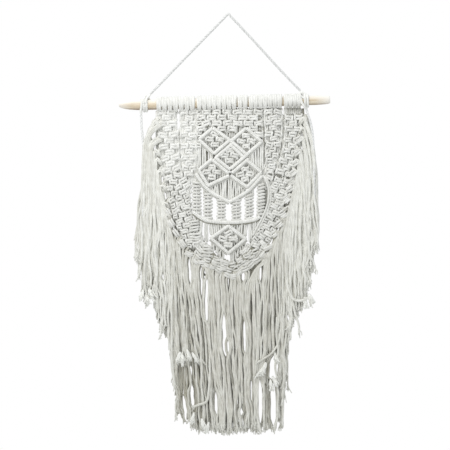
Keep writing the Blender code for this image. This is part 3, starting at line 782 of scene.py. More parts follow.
def twist(route):
    """Centreline of a two-ply cord along the route, the routes of its plies, and its length."""
    route = evenly(route, len(route))
    length = length_of(route)
    middle = evenly(route, int(length / PLY_STEP) + 2)
    ahead = unit(np.gradient(middle, axis=0))
    side = unit(np.cross(ahead[0], (0.02, 1.0, 0.03)))
    turn = 2 * math.pi * np.linspace(0, length / PLY_TURN, len(middle))
    plies = []
    for spot, way, angle in zip(middle, ahead, turn):
        side = unit(side - side.dot(way) * way)
        swing = (math.cos(angle) * side + math.sin(angle) * np.cross(way, side)) * CORD * 0.18
        plies.append((spot + swing, spot - swing))
    return middle, np.array(plies).swapaxes(0, 1), length


def make_free_cord(node, table, far_end, tones):
    skein = Skein()
    middle, plies, length = twist(smooth(table, 400))
    thick = np.full(len(middle), CORD * 0.335)
    if far_end == "bare":
        thick[-9:] *= np.linspace(1, 0.75, 9)
    skein.lay(plies, thick, sides=8, tone=tones)
    made = skein.piece("twisted_" + node, node, "twisted_cotton", TWISTED)


def make_end_knot(node, turns, cords):
    """One end of the hanging cord: turns round the dowel and the knot on top of it."""
    skein = Skein()
    routes = [smooth(cord, 60) for cord in cords]
    for start, finish, first, last, gap in turns:
        x = (start + finish) / 2
        routes.append(dowel_turn(x, first, last, dowel_radius(x) + gap, 60, drift=finish - start))
    for route in routes:
        skein.lay([evenly(route, 48)], CORD * 0.5, sides=8, tone=1.0)
    skein.piece("tied_" + node, node, "twisted_cotton", KNOTTED)


# Heading

HEAD_LEAD = (1, 0.02, 0.03)  # along the dowel, where the rings of a turn start
# Bar across the back of a lark's head: place across its width, as shares of the head's width and of the
# wood's thickness, then how far behind that and how high
HEAD_BAR = (
    (-0.42, 0.86, 0, 5), (-0.3, 1, 1.6, -0.5), (0, 1, 2.9, -1.5), (0.3, 1, 1.6, -0.5), (0.42, 0.86, 0, 5),
)


def tie_half_head(skein, middle, side, pitch, at_end):
    """One of the two cords of a lark's head, over the front of the dowel, and the leg that hangs from it."""
    x = middle + side * pitch * 0.24
    reach = dowel_radius(x) + 2.0 + chance.normal(0, 0.12)
    turn = dowel_turn(x, -118, 196, reach, 22, drift=chance.normal(0, 0.3))
    turn[-9:, 0] -= side * np.linspace(0.1, 1.2, 9)
    skein.lay([turn], 2.5 + chance.normal(0, 0.05), sides=7, lead=HEAD_LEAD, tone=0.92)
    outer_end = 104 + chance.normal(0, 6)
    if side < 0:
        inner = dowel_turn(x - side * pitch * 0.24, -100, 160, reach - 0.1, 16)
        skein.lay([inner], 2.2, lead=HEAD_LEAD, tone=0.92)
    elif not at_end:
        outer = dowel_turn(x + side * pitch * 0.26, -100, outer_end, reach - 0.25, 16)
        skein.lay([outer], 2.2, lead=HEAD_LEAD, tone=0.85)
    top, low = turn[-1, 2], -FIELD_TOP - 3
    leg = (turn[-1], (x - side * 0.3, 3.0, top - 3), (x, 1.5, (top + low) / 2), (x, 0.4, low))
    skein.lay(through(leg, 8), 2.0)


def make_heading(node, runs):
    """Lark's heads, each two turns over the front of the dowel with its bar across the back."""
    skein = Skein()
    for left, right, heads in runs:
        pitch = (right - left) / heads
        for head in range(heads):
            middle = left + pitch * (head + 0.5) + chance.normal(0, 0.12)
            for side in (-1, 1):
                tie_half_head(skein, middle, side, pitch, head == heads - 1)
            back = dowel_radius(middle) + 1.9
            bar = [
                (middle + pitch * along, back * share + behind_wood, height - dowel_axis(middle))
                for along, share, behind_wood, height in HEAD_BAR
            ]
            skein.lay(through(bar, 10), 1.95, lead=(0, 0, 1))
    skein.tied(node)


# Square knots


def both_halves(upper, shared=0):
    """A cord's points through a knot, from its upper half. shared is 1 where that ends in the very middle."""
    upper = np.array(upper, float)
    return np.concatenate([upper, upper[::-1][shared:] * (1, 1, -1)])


# A square knot of four cords, as (x, y, z): the cord whose two bars cross the front, the cord that shows as
# a bump beside them, and one of the two cords they are tied round
FRONT_CORD = both_halves((
    (-6.3, 1.6, 6.3), (-6.2, 0.2, 4.7), (-5.3, -1.9, 3.3), (-3.4, -3.8, 2.4), (0, -4.6, 2.15),
    (3.4, -4.2, 2.1), (5.3, -2.6, 1.7), (6.0, -0.6, 0.7),
))
BACK_CORD = both_halves((
    (6.3, 1.6, 6.3), (6.3, -0.8, 4.9), (5.9, -3.4, 3.7), (5.3, -3.0, 2.5), (4.2, 0.5, 1.4),
    (0, 3.0, 1.8), (-3.6, 2.4, 2.8), (-4.8, -0.8, 3.6), (-5.8, -4.4, 2.5), (-6.0, -5.5, 0),
), shared=1)
FILLER = both_halves(((2.1, 1.2, 6.4), (2.0, 0.2, 4.6), (2.0, -0.6, 3.4)))


def tie_square_knots(skein, knots, ease=0.34, inside=0.3, relief=1.0):
    """Ties knots given as (x, drop, width, height, slope in degrees, 1 or -1 for the side of its loop)."""
    knots = np.array(knots, float)
    count = len(knots)
    knots[:, :2] += chance.normal(0, 0.3, (count, 2))
    knots[:, 2:4] *= chance.normal(1, 0.035, (count, 2))
    knots[:, 4] += chance.normal(0, 4.5, count)
    skew, tip, rise = chance.normal(0, ((0.1,), (0.7,), (0.5,)), (3, count))[..., None]
    for cord, steps, thick in ((FRONT_CORD, 24, 2.2), (BACK_CORD, 27, 2.0)):
        ways = np.repeat(cord[None], count, axis=0)
        ways[..., 2] += skew * ways[..., 0] * (np.abs(ways[..., 2]) < 4)
        ways += chance.normal(0, ease, ways.shape) * (1, 0.6, 0.8)
        ways[..., 1] = (ways[..., 1] + tip * ways[..., 0] / 6 + rise) * relief
        lay_knot_cord(skein, ways, knots, steps, thick * (1.6 - 0.6 * relief))
    # The filler cords take the tone inside; below 1 they are darker than the cotton, painted shade in the
    # gaps between knots
    for side in (-1, 1):
        ways = np.repeat(FILLER[None] * (side, 1, 1), count, axis=0)
        lay_knot_cord(skein, ways, knots, 6, 1.9, inside)


def lay_knot_cord(skein, ways, knots, steps, thick, tone=None):
    """Lays one cord of each knot, brought to the knot's place, size and slope."""
    x0, drop0, wide, tall, slope, way = (column[:, None] for column in knots.T)
    cos, sin = np.cos(np.radians(slope)), np.sin(np.radians(slope))
    x = ways[..., 0] * way * wide / KNOT_WIDE
    z = ways[..., 2] * tall / KNOT_TALL
    ways = np.stack([x * cos - z * sin + x0, ways[..., 1], x * sin + z * cos - drop0], axis=-1)
    size = np.sqrt(wide / KNOT_WIDE * tall / KNOT_TALL)
    radius = thick * size * chance.normal(1, 0.03, (len(knots), 1))
    skein.lay(through(ways, steps), radius, press=0.86, tone=tone)


def hang(skein, cords, y=0.3, bow=0.5, thick=1.95, tone=None):
    """Straight cords given as (x, drop) of the upper end and of the lower end."""
    x0, drop0, x1, drop1 = np.array(cords, float).T[..., None]
    share = np.array([0, 0.33, 0.67, 1.0])
    x = x0 + (x1 - x0) * share + chance.normal(0, bow, (len(cords), 4)) * (0.2, 1, 1, 0.2)
    z = -(drop0 + (drop1 - drop0) * share)
    depth = y + chance.normal(0, bow * 0.7, (len(cords), 4))
    skein.lay(through(np.stack([x, depth, z], axis=-1), 7), thick, tone=tone)


def behind(skein, left, right, top, low, y=3.6, tone=0.0):
    """Cords at the back of the work from line to line. Dark ones are painted shade that shows only through
    its holes, and have pale ones behind them."""
    # tone sets how dark these cords are; below 0.9 they are painted shade
    cords = between_lines(np.arange(left + 1.6, right - 1, BACK_PITCH), top, low)
    hang(skein, cords, y=y, bow=0.2, thick=2.0, tone=tone)
    if tone < 0.9:
        hang(skein, cords, y=y + 2.6, bow=0.3, thick=2.1)


def flip():
    return 1 if chance.random() < 0.72 else -1


def slope_of(way):
    """Degrees that a line along way rises to the right."""
    forward = -1 if way[0] < 0 else 1
    return -math.degrees(math.atan2(way[1] * forward, way[0] * forward))


def resized(knot, wider, taller):
    x, drop, wide, tall, slope, way = knot
    return x, drop, wide * wider, tall * taller, slope, way


def knot_row(outer, inner, count, odd, tall, halves):
    """Knots along one row from its outer to its inner end, and the cords beside them that aren't tied."""
    outer = np.array(outer)
    way = np.array(inner) - outer
    wide = math.hypot(*way) / count
    slope = slope_of(way)
    first = (count % 1 or 0.5) if odd and count > 1 else 0.0
    knots, loose = [], []
    place = first
    while place + 1 <= count + 0.01:
        x, drop = outer + way * (place + 0.5) / count
        knots.append((x, drop + chance.normal(0, 0.25), wide, tall, slope + chance.normal(0, 1.5), flip()))
        place += 1
    if halves:
        for at, share in ((first / 2, first), ((place + count) / 2, count - place)):
            if share > 0.3:
                x, drop = outer + way * at / count
                knots.append((x, drop, wide * share * 1.1, tall, slope + chance.normal(0, 4), flip()))
        return knots, []
    down = np.array([math.sin(math.radians(slope)), math.cos(math.radians(slope))]) * tall * 0.62
    for start, share in ((0, first), (place, count - place)):
        if share > 0.2:
            for part in (0.25, 0.75):
                spot = outer + way * (start + share * part) / count
                loose.append((*(spot - down), *(spot + down)))
    return knots, loose


def between_rows(rows):
    """All the rows of a band, spaced evenly between the given ones."""
    rows = np.array(rows, float)
    gone = distances((rows[:, :2] + rows[:, 2:4]) / 2)
    count = int(round(gone[-1] / KNOT_TALL)) + 1
    at = np.linspace(0, gone[-1], count)
    made = rows_at(at, gone, rows)
    made[:, 4] = [rows[np.searchsorted(gone, value + 0.01, side="right") - 1, 4] for value in at]
    return made, gone[-1] / (count - 1)


def along_rim(rim, offset, count, odd):
    """Knots that follow a stretch of the rim, that far inside it."""
    gone = distances(rim)
    wide = gone[-1] / count
    knots = []
    place = 0.5 if odd else 0.0
    while place + 1 <= count + 0.01:
        before, middle, after = rows_at((place + np.array((0.1, 0.5, 0.9))) * wide, gone, rim)
        way = after - before
        inward = unit(np.array([way[1], -way[0]]))
        if inward[1] > 0:
            inward = -inward
        knots.append((*(middle + inward * offset), wide, KNOT_TALL, slope_of(way), flip()))
        place += 1
    return knots


# Side panels and borders


def tie_bands(bands, split, border_from):
    """The rows of knots of one side: its outer and inner panel and the border below them."""
    outer, inner, border = Skein(), Skein(), Skein()
    for rows in bands:
        made, tall = between_rows(rows)
        for number, (x0, drop0, x1, drop1, count) in enumerate(made):
            odd, halves = number % 2 == 1, drop1 > HALF_KNOTS_FROM
            knots, loose = knot_row((x0, drop0), (x1, drop1), count, odd, tall, halves)
            for tied in knots + loose:
                x, drop = tied[:2]
                if x > BARE_CORNER[0] and drop < BARE_CORNER[1]:
                    continue
                if drop > border_from:
                    where = border
                else:
                    where = outer if abs(x) > split else inner
                if len(tied) == 4:
                    hang(where, [tied])
                elif where is border:
                    tie_square_knots(where, [resized(tied, 0.96, 0.92)], ease=0.45, inside=0.55, relief=0.88)
                elif x < 0:
                    tie_square_knots(where, [tied], inside=1.0, relief=0.72)
                else:
                    tie_square_knots(where, [tied], inside=0.5)
    return outer, inner, border


def add_knob(skein, x, drop, slope, long, bars, y=-9.2, apart=3.3):
    """Parallel turns that stand out at the edge of the work. slope is in degrees, downward to the right."""
    lean = math.radians(slope)
    way = np.array([math.cos(lean), 0, -math.sin(lean)])
    aside = np.array([-way[2], 0, way[0]])
    along, back, bend = np.array(TURN_SHAPE).T[..., None]
    ways = []
    for bar in range(bars):
        middle = np.array([x, 0, -drop]) + aside * (bar - (bars - 1) / 2) * apart + chance.normal(0, 0.3, 3)
        half = long / 2 * chance.normal(1, 0.06)
        bow = chance.normal(0, 0.5)
        line = middle + way * half * along + aside * (bend + bow * (1 - along * along))
        ways.append(line + (y + back) * (0, 1, 0))
    skein.lay(through(ways, 18), 1.95, press=0.9, tone=chance.uniform(0.8, 1.0, bars))


def plait_edge(skein, way):
    """Pairs of short turns in rows along the bottom edge, over dark cords that paint the shade in the grooves
    between them.
    """
    for offset in np.arange(2.5, 33, 3.0):
        # Dark cords along the grooves: painted shade
        start, end = max(0.5, offset * 2.8 - 60), 68 - offset * 0.9
        groove = [(x, -3.4, height_at(FIELD_RIM, x) - offset) for x in way * np.linspace(start, end, 12)]
        skein.lay([smooth(groove, 40)], 1.7, tone=0.12)
    rows = ((4.8, 0.0), (14.0, 6.2)) if way < 0 else ((4.8, 4.0), (14.0, -1.5), (23.0, 4.0))
    for offset, shift in rows:
        for x in way * np.arange(3.0 + shift, 69 - offset, 12.4):
            fall = height_at(FIELD_RIM, x + 4) - height_at(FIELD_RIM, x - 4)
            slope = math.degrees(math.atan2(fall, 8)) * 0.8 + chance.uniform(-9, 9)
            add_knob(skein, x, height_at(FIELD_RIM, x) - offset, slope, 8.4, 2, y=-7.4, apart=4.4)


def edge_border(border, outer, side, way, ends):
    """The rows of knots along a border's lower edge, its raised turns and the darker cords behind it, which
    paint the shade in its holes.
    """
    rim = np.array(LOW_RIM[side], float)
    gone = distances(rim)
    for number, (offset, first, last, count) in enumerate(RIM_ROWS):
        part = rows_at(np.linspace(gone[-1] * first, gone[-1] * last, 14), gone, rim)
        knots = [resized(knot, 0.94, 0.86) for knot in along_rim(part, offset, count, number == 0)]
        tie_square_knots(border, knots, ease=0.5, inside=0.35)
    for x, drop, slope, long, bars in KNOBS:
        if (x > 2) == (way > 0):
            add_knob(outer if drop < PANEL_TURNS_TO else border, x, drop, slope, long, bars)
    behind(border, *ends, INNER_EDGE, lowered(FIELD_RIM, -6), y=3.4, tone=0.42)
    plait_edge(border, way)


def back_left(outer, inner, border):
    """Long bars of the left border, and the pale cords behind the left panels."""
    for bar in LONG_BARS:
        add_knob(border, *bar, y=-6.8, apart=4.6)
    behind(inner, -84, -52, 190, 262, y=1.5, tone=1.05)
    behind(inner, -78, -52, 160, 190, y=1.5, tone=1.05)
    behind(outer, -119.5, -84, 160, 268, y=1.5, tone=1.05)


def back_right(outer, inner, border):
    """Darker cords behind the right panels, which paint the shade in their holes, and those that cover their
    joins and the border's inner edge.
    """
    behind(outer, 86, 121, 167, RIGHT_BACKING, y=3.4, tone=0.7)
    behind(inner, 58, 86, 186, 272, y=3.0, tone=0.75)
    # The cord on the centre seam is dark: painted shade in that join
    inner.lay([smooth(CENTRE_SEAM, 12)], 1.2, tone=0.3)
    border.lay([smooth(INNER_CORD, 40)], 1.8, tone=0.9)
    border.lay([smooth(INNER_CORD, 40) + (3.3, 0.6, -1.0)], 1.7, tone=0.85)
    outer.lay([smooth(RIGHT_SEAM, 30)], 1.8, tone=0.7)


def make_side(side, way, bands, split, border_from, ends):
    """One side of the field as three pieces."""
    outer, inner, border = tie_bands(bands, split, border_from)
    if side == "right":
        # Dark cords in the recess under the right heading: painted shade
        hang(outer, [(x, 156, x, 170) for x in 94 + CORD * np.arange(8)], y=3.6, tone=0.1)
        hang(inner, [(88.6, 165, 89, 178)])
    edge_border(border, outer, side, way, ends)
    if side == "left":
        back_left(outer, inner, border)
    else:
        back_right(outer, inner, border)
    for skein, part in ((outer, "outer_panel"), (inner, "inner_panel"), (border, "border")):
        skein.tied(f"{side}_{part}")


# Centre panel


def hitch_line(skein, corners, wide=LINE_WIDE, shade=0.75):
    """A cord along the line, closely wrapped by the cords that cross it, and a darker cord along its foot
    that paints the shade under the line.
    """
    middle = smooth([(x, LINE_FRONT, drop) for x, drop in corners], 60)
    length = length_of(middle)
    steps = int(length / HITCH * 9) + 2
    middle = evenly(middle, steps)
    side = unit(np.cross(unit(np.gradient(middle, axis=0)), (0, 1, 0)))
    thick = HITCH * 0.56
    turn = np.linspace(0, 2 * math.pi * length / HITCH, steps)[:, None]
    reach = wide / 2 - thick
    coil = middle + np.cos(turn) * side * reach + np.sin(turn) * (0, reach + 0.3, 0)
    foot = middle + np.where(side[:, 2:] > 0, -1, 1) * side * (wide / 2 + 0.7) + (0, 2.2, 0)
    skein.lay([middle], wide / 2 - 0.35, sides=8, tone=1.0)
    skein.lay([coil], thick, tone=1.03)
    # The foot cord is painted shade, as dark as shade says
    skein.lay([evenly(foot, 40)], 1.3, tone=shade)


def fill_diamond(skein, diamond, wide, tall):
    """Four square knots and the cords that run down through a diamond, inside its line."""
    top, left, bottom, right = diamond
    x0, drop0 = np.mean(diamond, axis=0)
    upper, lower = (left, top, right), (left, bottom, right)
    columns = x0 + (np.arange(-8, 8) + 0.5) * wide / 4
    columns = columns[(columns > left[0] + 3) & (columns < right[0] - 3)]
    hang(skein, between_lines(columns, upper, lower), y=0.6, thick=1.7)
    # Darker cords behind: painted shade in the diamond's holes
    behind(skein, left[0], right[0], lowered(upper, -2), lowered(lower, 2), tone=0.4)
    sideways, up = wide * 0.52, tall * 0.98
    for x, drop in ((0, -up), (-sideways, 0), (sideways, 0), (0, up)):
        knot = (x0 + x, drop0 + drop, wide * 0.98, tall * 0.96, chance.normal(0, 9), flip())
        tie_square_knots(skein, [knot], ease=0.5, inside=0.8)


def clear_of_diamonds(x, drop, margin=6.0):
    for top, left, bottom, right in DIAMONDS:
        if left[0] - margin < x < right[0] + margin:
            upper = height_at((left, top, right), x) - margin
            lower = height_at((left, bottom, right), x) + margin
            if upper < drop < lower:
                return False
    return True


def tie_centre_rows(skein):
    """Rows of square knots from the heading down to the diamonds, the cords between them, and dark cords
    behind them that paint the shade in the holes.
    """
    for row in range(7):
        drop = FIELD_TOP + KNOT_TALL * row
        shift = CENTRE_KNOT / 2 * (row % 2)
        for i in range(-4, 5):
            x = -1.8 + CENTRE_KNOT * i + shift
            if -46 < x < 53 and drop < DIAMOND_TOP and clear_of_diamonds(x, drop):
                tie_square_knots(skein, [(x, drop, CENTRE_KNOT, KNOT_TALL, chance.normal(0, 2), flip())])
        if row % 2 == 0:
            tie_square_knots(skein, [(-48.2, drop, 9.5, KNOT_TALL, chance.normal(0, 3), flip())])
    loose = []
    for x in np.arange(-48.6, 57, CORD):
        tops = [height_at((a, top, b), x) for top, a, _, b in DIAMONDS[:2] if a[0] < x < b[0]]
        loose.append((x, FIELD_START, x, min(tops, default=DIAMOND_TOP)))
    hang(skein, loose, y=1.8)
    behind(skein, -51, 57.6, FIELD_START, DIAMOND_TOP)


def hang_floats(skein):
    """Cords that float between the diamonds, and the darker ones behind them, which paint the shade in the
    gaps.
    """
    floats = between_lines((-49.5, -45.6, -41.8, -38, -29.4, -26.4), *LEFT_FLOATS, aside=-0.4)
    floats += between_lines(np.arange(33.5, 57, 3.9), *RIGHT_FLOATS, aside=0.8)
    hang(skein, floats, y=-1.0, thick=1.75)
    for left, right, lines in ((-51, -34.6, LEFT_FLOATS), (-31.6, -23, LEFT_FLOATS), (33, 57, RIGHT_FLOATS)):
        behind(skein, left, right, *lines, y=2.8)


def make_centre():
    skein = Skein()
    tie_centre_rows(skein)
    for diamond in DIAMONDS:
        fill_diamond(skein, diamond, 15.6, KNOT_TALL * 0.97)
    for line in LINES:
        hitch_line(skein, line)
    hang_floats(skein)
    hang(skein, BESIDE, y=0.6, bow=0.1)
    # Dark cords behind those beside the lower diamonds: painted shade in the gaps
    hang(skein, BESIDE, y=3.6, bow=0.1, tone=0)
    # Darker cords behind the panel's right edge: painted shade in its holes
    behind(skein, 57, 69, ((57, 262), (69, 274)), ((57, 336), (69, 324)), tone=0.65)
    fan = []
    for x in np.arange(-31, 27, BACK_PITCH):
        fan.append((x, height_at(ROOF, x), 1 + (x - 1) * 0.88, height_at(CLOSING_V, x * 0.9)))
    hang(skein, fan, y=-1.0, bow=0.9, thick=1.6)
    # Dark cords behind the fan: painted shade between its cords
    behind(skein, -33, 29.5, ROOF, CLOSING_V, y=3.2)
    hitch_line(skein, CLOSING_V[:4])
    hitch_line(skein, CLOSING_V[3:])
    skein.tied("centre_panel")


def make_sinnet(node, left, right, top, low, slope):
    """A stack of turns round two straight cords, which come from the closing line and end at the arc."""
    skein = Skein()
    count = round((low - top) / SINNET_TURN)
    pitch = (low - top) / count
    middle, half = (left + right) / 2, (right - left) / 2 - CORD / 2
    turn = np.linspace(0, 2 * math.pi, 19) - math.pi / 2
    rise = math.tan(math.radians(slope))
    ribs = []
    for i in range(count):
        wide = half * chance.normal(1, 0.04)
        lean = rise + chance.normal(0, 0.05)
        across = np.sin(turn) * wide * (1 - 0.12 * np.cos(turn) ** 2) + chance.normal(0, 0.3)
        depth = np.cos(turn) * -3.4 - 0.4 - 0.5 * (turn < 0)
        z = across * lean - top - pitch * (i + 0.5) + chance.normal(0, 0.2)
        ribs.append(np.stack([middle + across, depth, z + 0.35 * np.sin(turn * 2)], axis=-1))
    skein.lay(ribs, 2.18, sides=7, press=0.9, tone=chance.uniform(0.8, 0.95, count))
    for aside in (-0.45, 0.45):
        hang(skein, between_lines([middle + aside * half], CLOSING_V, ARC), y=0.2, bow=0.1, thick=2.0)
    spread = np.linspace(left + 2.2, right - 2.2, 4)
    hang(skein, between_lines(spread, CLOSING_V, top + 4), y=-0.4, bow=0.2)
    hang(skein, between_lines(spread, low - 4, ARC), y=-0.4, bow=0.2)
    skein.tied(node)


def make_arc():
    skein = Skein()
    # Its foot cord is darker still: painted shade under the arc
    hitch_line(skein, ARC, wide=6.6, shade=0.2)
    skein.tied("arc_line")


def make_small_diamond():
    skein = Skein()
    top, left, bottom, right = SMALL_DIAMOND
    fill_diamond(skein, SMALL_DIAMOND, 16.6, 10.0)
    for line in ((left, top), (top, right), (left, bottom), (bottom, right)):
        hitch_line(skein, line)
    skein.tied("small_diamond")


def make_fan(node, cords):
    """Floating cords, with a dark one behind each gap between two that lie close together: painted shade in
    that gap.
    """
    skein = Skein()
    hang(skein, cords, y=-1.2, bow=0.6, thick=1.75)
    gaps = [
        (x0 + 1.7, drop0, x1 + 1.7, drop1 - 1)
        for (x0, drop0, x1, drop1), after in zip(cords, cords[1:]) if after[0] < x0 + 5
    ]
    hang(skein, gaps, y=2.4, bow=0.4, thick=1.9, tone=0)
    skein.tied(node)


# Fringe


def rim_at(row):
    """Where a bundle of the fringe leaves the field's edge, as x and drop."""
    rim = np.array(FIELD_RIM, float)
    return rows_at(RIM_FIRST + RIM_PITCH * row, distances(rim), rim)


def near_loop(row):
    """Number of the loop that a bundle comes over, or None at the bottom of the field."""
    x0, drop0 = rim_at(row)
    away = [math.hypot(x - x0, drop - drop0) for x, drop in LOOPS]
    return int(np.argmin(away)) if min(away) < LOOP_NEAR else None


def open_slits(x, drop):
    """Moves a strand aside where a slit stays open."""
    for x0, drop0, x1, drop1, wide in SLITS:
        if drop[-1] < drop0 or drop[0] > drop1:
            continue
        share = (drop - drop0) / (drop1 - drop0)
        middle = x0 + (x1 - x0) * np.clip(share, -0.5, 1.5)
        halfway = int(np.argmin(np.abs(share - 0.5)))
        side = 1 if x[halfway] > middle[halfway] else -1
        swell = np.sqrt(np.clip(2.1 - np.abs(share - 0.5) * 3.4, 0, 1))
        reach = 12 + wide
        half = (wide / 2 + 2.0) * swell
        gap = np.clip((x - middle) * side, 0, None)
        moved = middle + side * (half + gap * (1 - half / reach))
        x = np.where((gap < reach) & (swell > 0), moved, x)
    return x


def loop_over(spot, side, size):
    """Top of a strand that comes up over the field's edge: it rises outward, bends over and falls."""
    shape = (
        (-1 - 5 * size, 6.5 - 1.5 * size, -3.0), (1 - 4.2 * size, 2.8 - 4 * size, -7.4),
        (2.6 - 1.2 * size, 0.2 - 6.2 * size, -8.6), (3.6 + 1.6 * size, 0.8 - 5.6 * size, -8.4),
        (4 + 3.2 * size, 4 - 2 * size, -7.4),
    )
    return [(spot[0] + side * out, y, spot[1] + down) for out, down, y in shape]


def strand_head(start, loop, fall, depth, reach):
    """The top of a strand, down to where it hangs free. It comes over the edge where loop gives its place and
    size there, and else from under the edge, or from behind the work in the back layer."""
    side = -1 if fall < 0 else 1
    if loop:
        head = loop_over(loop[:2], side, loop[2])
        x, y, drop = head[-1]
        first, out = 0.4, 0
    else:
        in_front = depth < 2
        x, drop = start
        y = min(depth, -1.0) if in_front else 3.4
        first, out = 0.35, side * (chance.uniform(0.5, 3) if in_front else chance.uniform(2.5, 6))
        head = [(x - side * 3, y + 2.5, drop - 9), (x + out, y, drop - 1)]
    return head + [
        (x + (fall - x) * first + out, (y + depth) / 2, drop + 0.26 * reach),
        (x + (fall - x) * 0.82, depth, drop + 0.62 * reach), (fall, depth, drop + reach),
    ]


def swayed(route, fall, depth):
    """A strand with its small waves, partly its own and partly those of its neighbours."""
    drop = -route[:, 2]
    free = np.clip((drop - drop[0] - 18) / 50, 0, 1)
    phase = chance.uniform(0, 2 * math.pi, 6)
    long, short = chance.uniform(8, 13), chance.uniform(4, 6)
    sway = 0.6 * np.sin(drop / long + phase[0]) + 0.35 * np.sin(drop / short + phase[1])
    together = 0.8 * np.sin(drop / 27 + fall / 11 + depth) + 0.5 * np.sin(drop / 13 + fall / 7 + 2 * depth)
    growing = np.linspace(0.5, 1.15, STRAND_STEPS)
    route[:, 0] = open_slits(route[:, 0] + (sway + together) * growing * free, drop)
    route[:, 1] += (1.3 * np.sin(drop / long + phase[2]) + 0.5 * np.sin(drop / short + phase[3])) * free
    return route


def strand_along(table, steps=60):
    return evenly(smooth(table, steps), STRAND_STEPS)


def strand_route(row, fall, tip_x, tip, depth, loop):
    """One strand, from the field's edge to its tip. It hangs free from reach below the edge."""
    start = rim_at(row)
    if abs(fall) < 92:
        start = np.array((fall, height_at(FIELD_RIM, fall)))
    if abs(fall) < 88:
        reach = 44
    elif fall > 0:
        reach = 56
    else:
        reach = np.interp(start[1], (215, 290), (100, 56))
    number = near_loop(row)
    if abs(fall) > 60 and number is not None:
        start = start * 0.25 + np.array(LOOPS[number]) * 0.75
    line = strand_head(start, loop, fall, depth, reach)
    drop = line[-1][2]
    drift = np.cumsum(chance.normal(0, 1.7, 6))
    for share, aside in zip((0.16, 0.33, 0.5, 0.67, 0.84, 1.0), drift):
        line.append((fall + (tip_x - fall) * share + aside, depth, drop + (tip - drop) * share))
    return swayed(strand_along(line, 90), fall, depth)


def tip_drop(layer, tip_x, drop):
    """Drop of a strand's tip: near that of its bundle, or higher, where the outer layers are cut short."""
    drop = drop - abs(chance.normal(0, 6)) - 5
    if chance.random() < 0.1:
        drop -= chance.uniform(10, 60)
    if -86 < tip_x < -42 and chance.random() < CUT_SHORT[layer]:
        drop = chance.uniform(556, 580)
    if layer < 2 and 56 < tip_x < 84 and chance.random() < 0.5:
        drop = chance.choice(SHORT_TIPS) + chance.normal(0, 4)
    return drop


def loop_of(over, number):
    """Place of a strand on the loop it comes over, and the size of its bend there, from 0 to 1."""
    if over[number] is None:
        return None
    group = [i for i, loop in enumerate(over) if loop == over[number]]
    share = (group.index(number) + 0.5) / len(group)
    x, drop = LOOPS[over[number]]
    if x < 0:
        share = 1 - share
    return x + chance.normal(0, 0.4), drop + chance.normal(0, 0.5), share


def strand_tone(fall, layer):
    # Painted shade: deeper layers are darker, and strands in the middle of the fringe are darker than those
    # at its sides
    if abs(fall) > 97:
        return chance.uniform(0.9, 1.04) - (0.1 if fall < 0 else 0.04) * layer
    return chance.uniform(0.74, 0.98) - 0.07 * layer


def strands_of(first, last):
    """Strands of one comb, side by side in layers: their routes and tones."""
    table = np.array(BUNDLES, float)
    rows = np.arange(len(table))
    at_left, at_right = first == 0, last == len(table)
    start, end = np.interp([first - 0.5, last - 0.5], rows, table[:, 0]) + (-3 * at_left, 3 * at_right)
    count = int(round((end - start) / (SIDE_PITCH if at_left or at_right else CENTRE_PITCH)))
    routes, tones = [], []
    for layer, depth in enumerate(LAYERS):
        if at_left or at_right:
            depth = depth * 0.7 - 1.5
        places = (np.arange(count) + 0.5 * (layer % 2) + 0.25 + chance.uniform(-0.3, 0.3, count)) / count
        falls = start + (end - start) * places
        bundles = np.interp(falls, table[:, 0], rows)
        over = []
        for row in bundles:
            looped = layer == 0 or (layer == 1 and chance.random() < 0.3)
            over.append(near_loop(row) if looped else None)
        for number, (fall, row) in enumerate(zip(falls, bundles)):
            bundle_x, tip_x, drop = rows_at(row, rows, table)
            tip_x += fall - bundle_x
            drop = tip_drop(layer, tip_x, drop)
            routes.append(strand_route(row, fall, tip_x, drop, depth, loop_of(over, number)))
            tones.append(strand_tone(fall, layer))
    return routes, tones


def outer_strands(name):
    """Strands of a comb that have a course of their own."""
    made = []
    if name == "right_fringe":
        for x, y, tip in RIGHT_STRANDS:
            course = [(x + aside, y, drop) for aside, drop in RIGHT_COURSE]
            made.append(strand_along([(x - 4, 3, 166), *course, (x, y, tip)]))
    if name == "left_fringe":
        wider = np.interp(range(11), (0, 3, 7), (0.4, 0.5, 1))[:, None]
        for table in (FOUNTAIN, SECOND_FOUNTAIN):
            for shift in (0, 3.4, 6.8):
                made.append(strand_along(table + wider * (shift, 0.1 * shift, 0.75 * shift)))
    return made + [strand_along(stray) for stray in STRAYS if comb_at(stray[0][0]) == name]


def comb_at(x):
    if abs(x) < 95:
        return "centre_fringe"
    return "left_fringe" if x < 0 else "right_fringe"


def fray(skein, spot, way, count, reach, radius, spread, tone):
    """A few loose yarns at a cut end."""
    way = unit(np.array(way, float))
    ends = (way + chance.normal(0, spread, (count, 3))) * reach * chance.uniform(0.55, 1.0, (count, 1))
    ways = [np.repeat((spot - way * 3)[None], count, axis=0)]
    for share in (0.3, 0.65, 1.0):
        ways.append(spot + ends * share + chance.normal(0, reach * 0.05, (count, 3)))
    skein.lay(through(np.stack(ways, axis=1), 6), radius * np.linspace(1, 0.6, 6), sides=4, tone=tone)


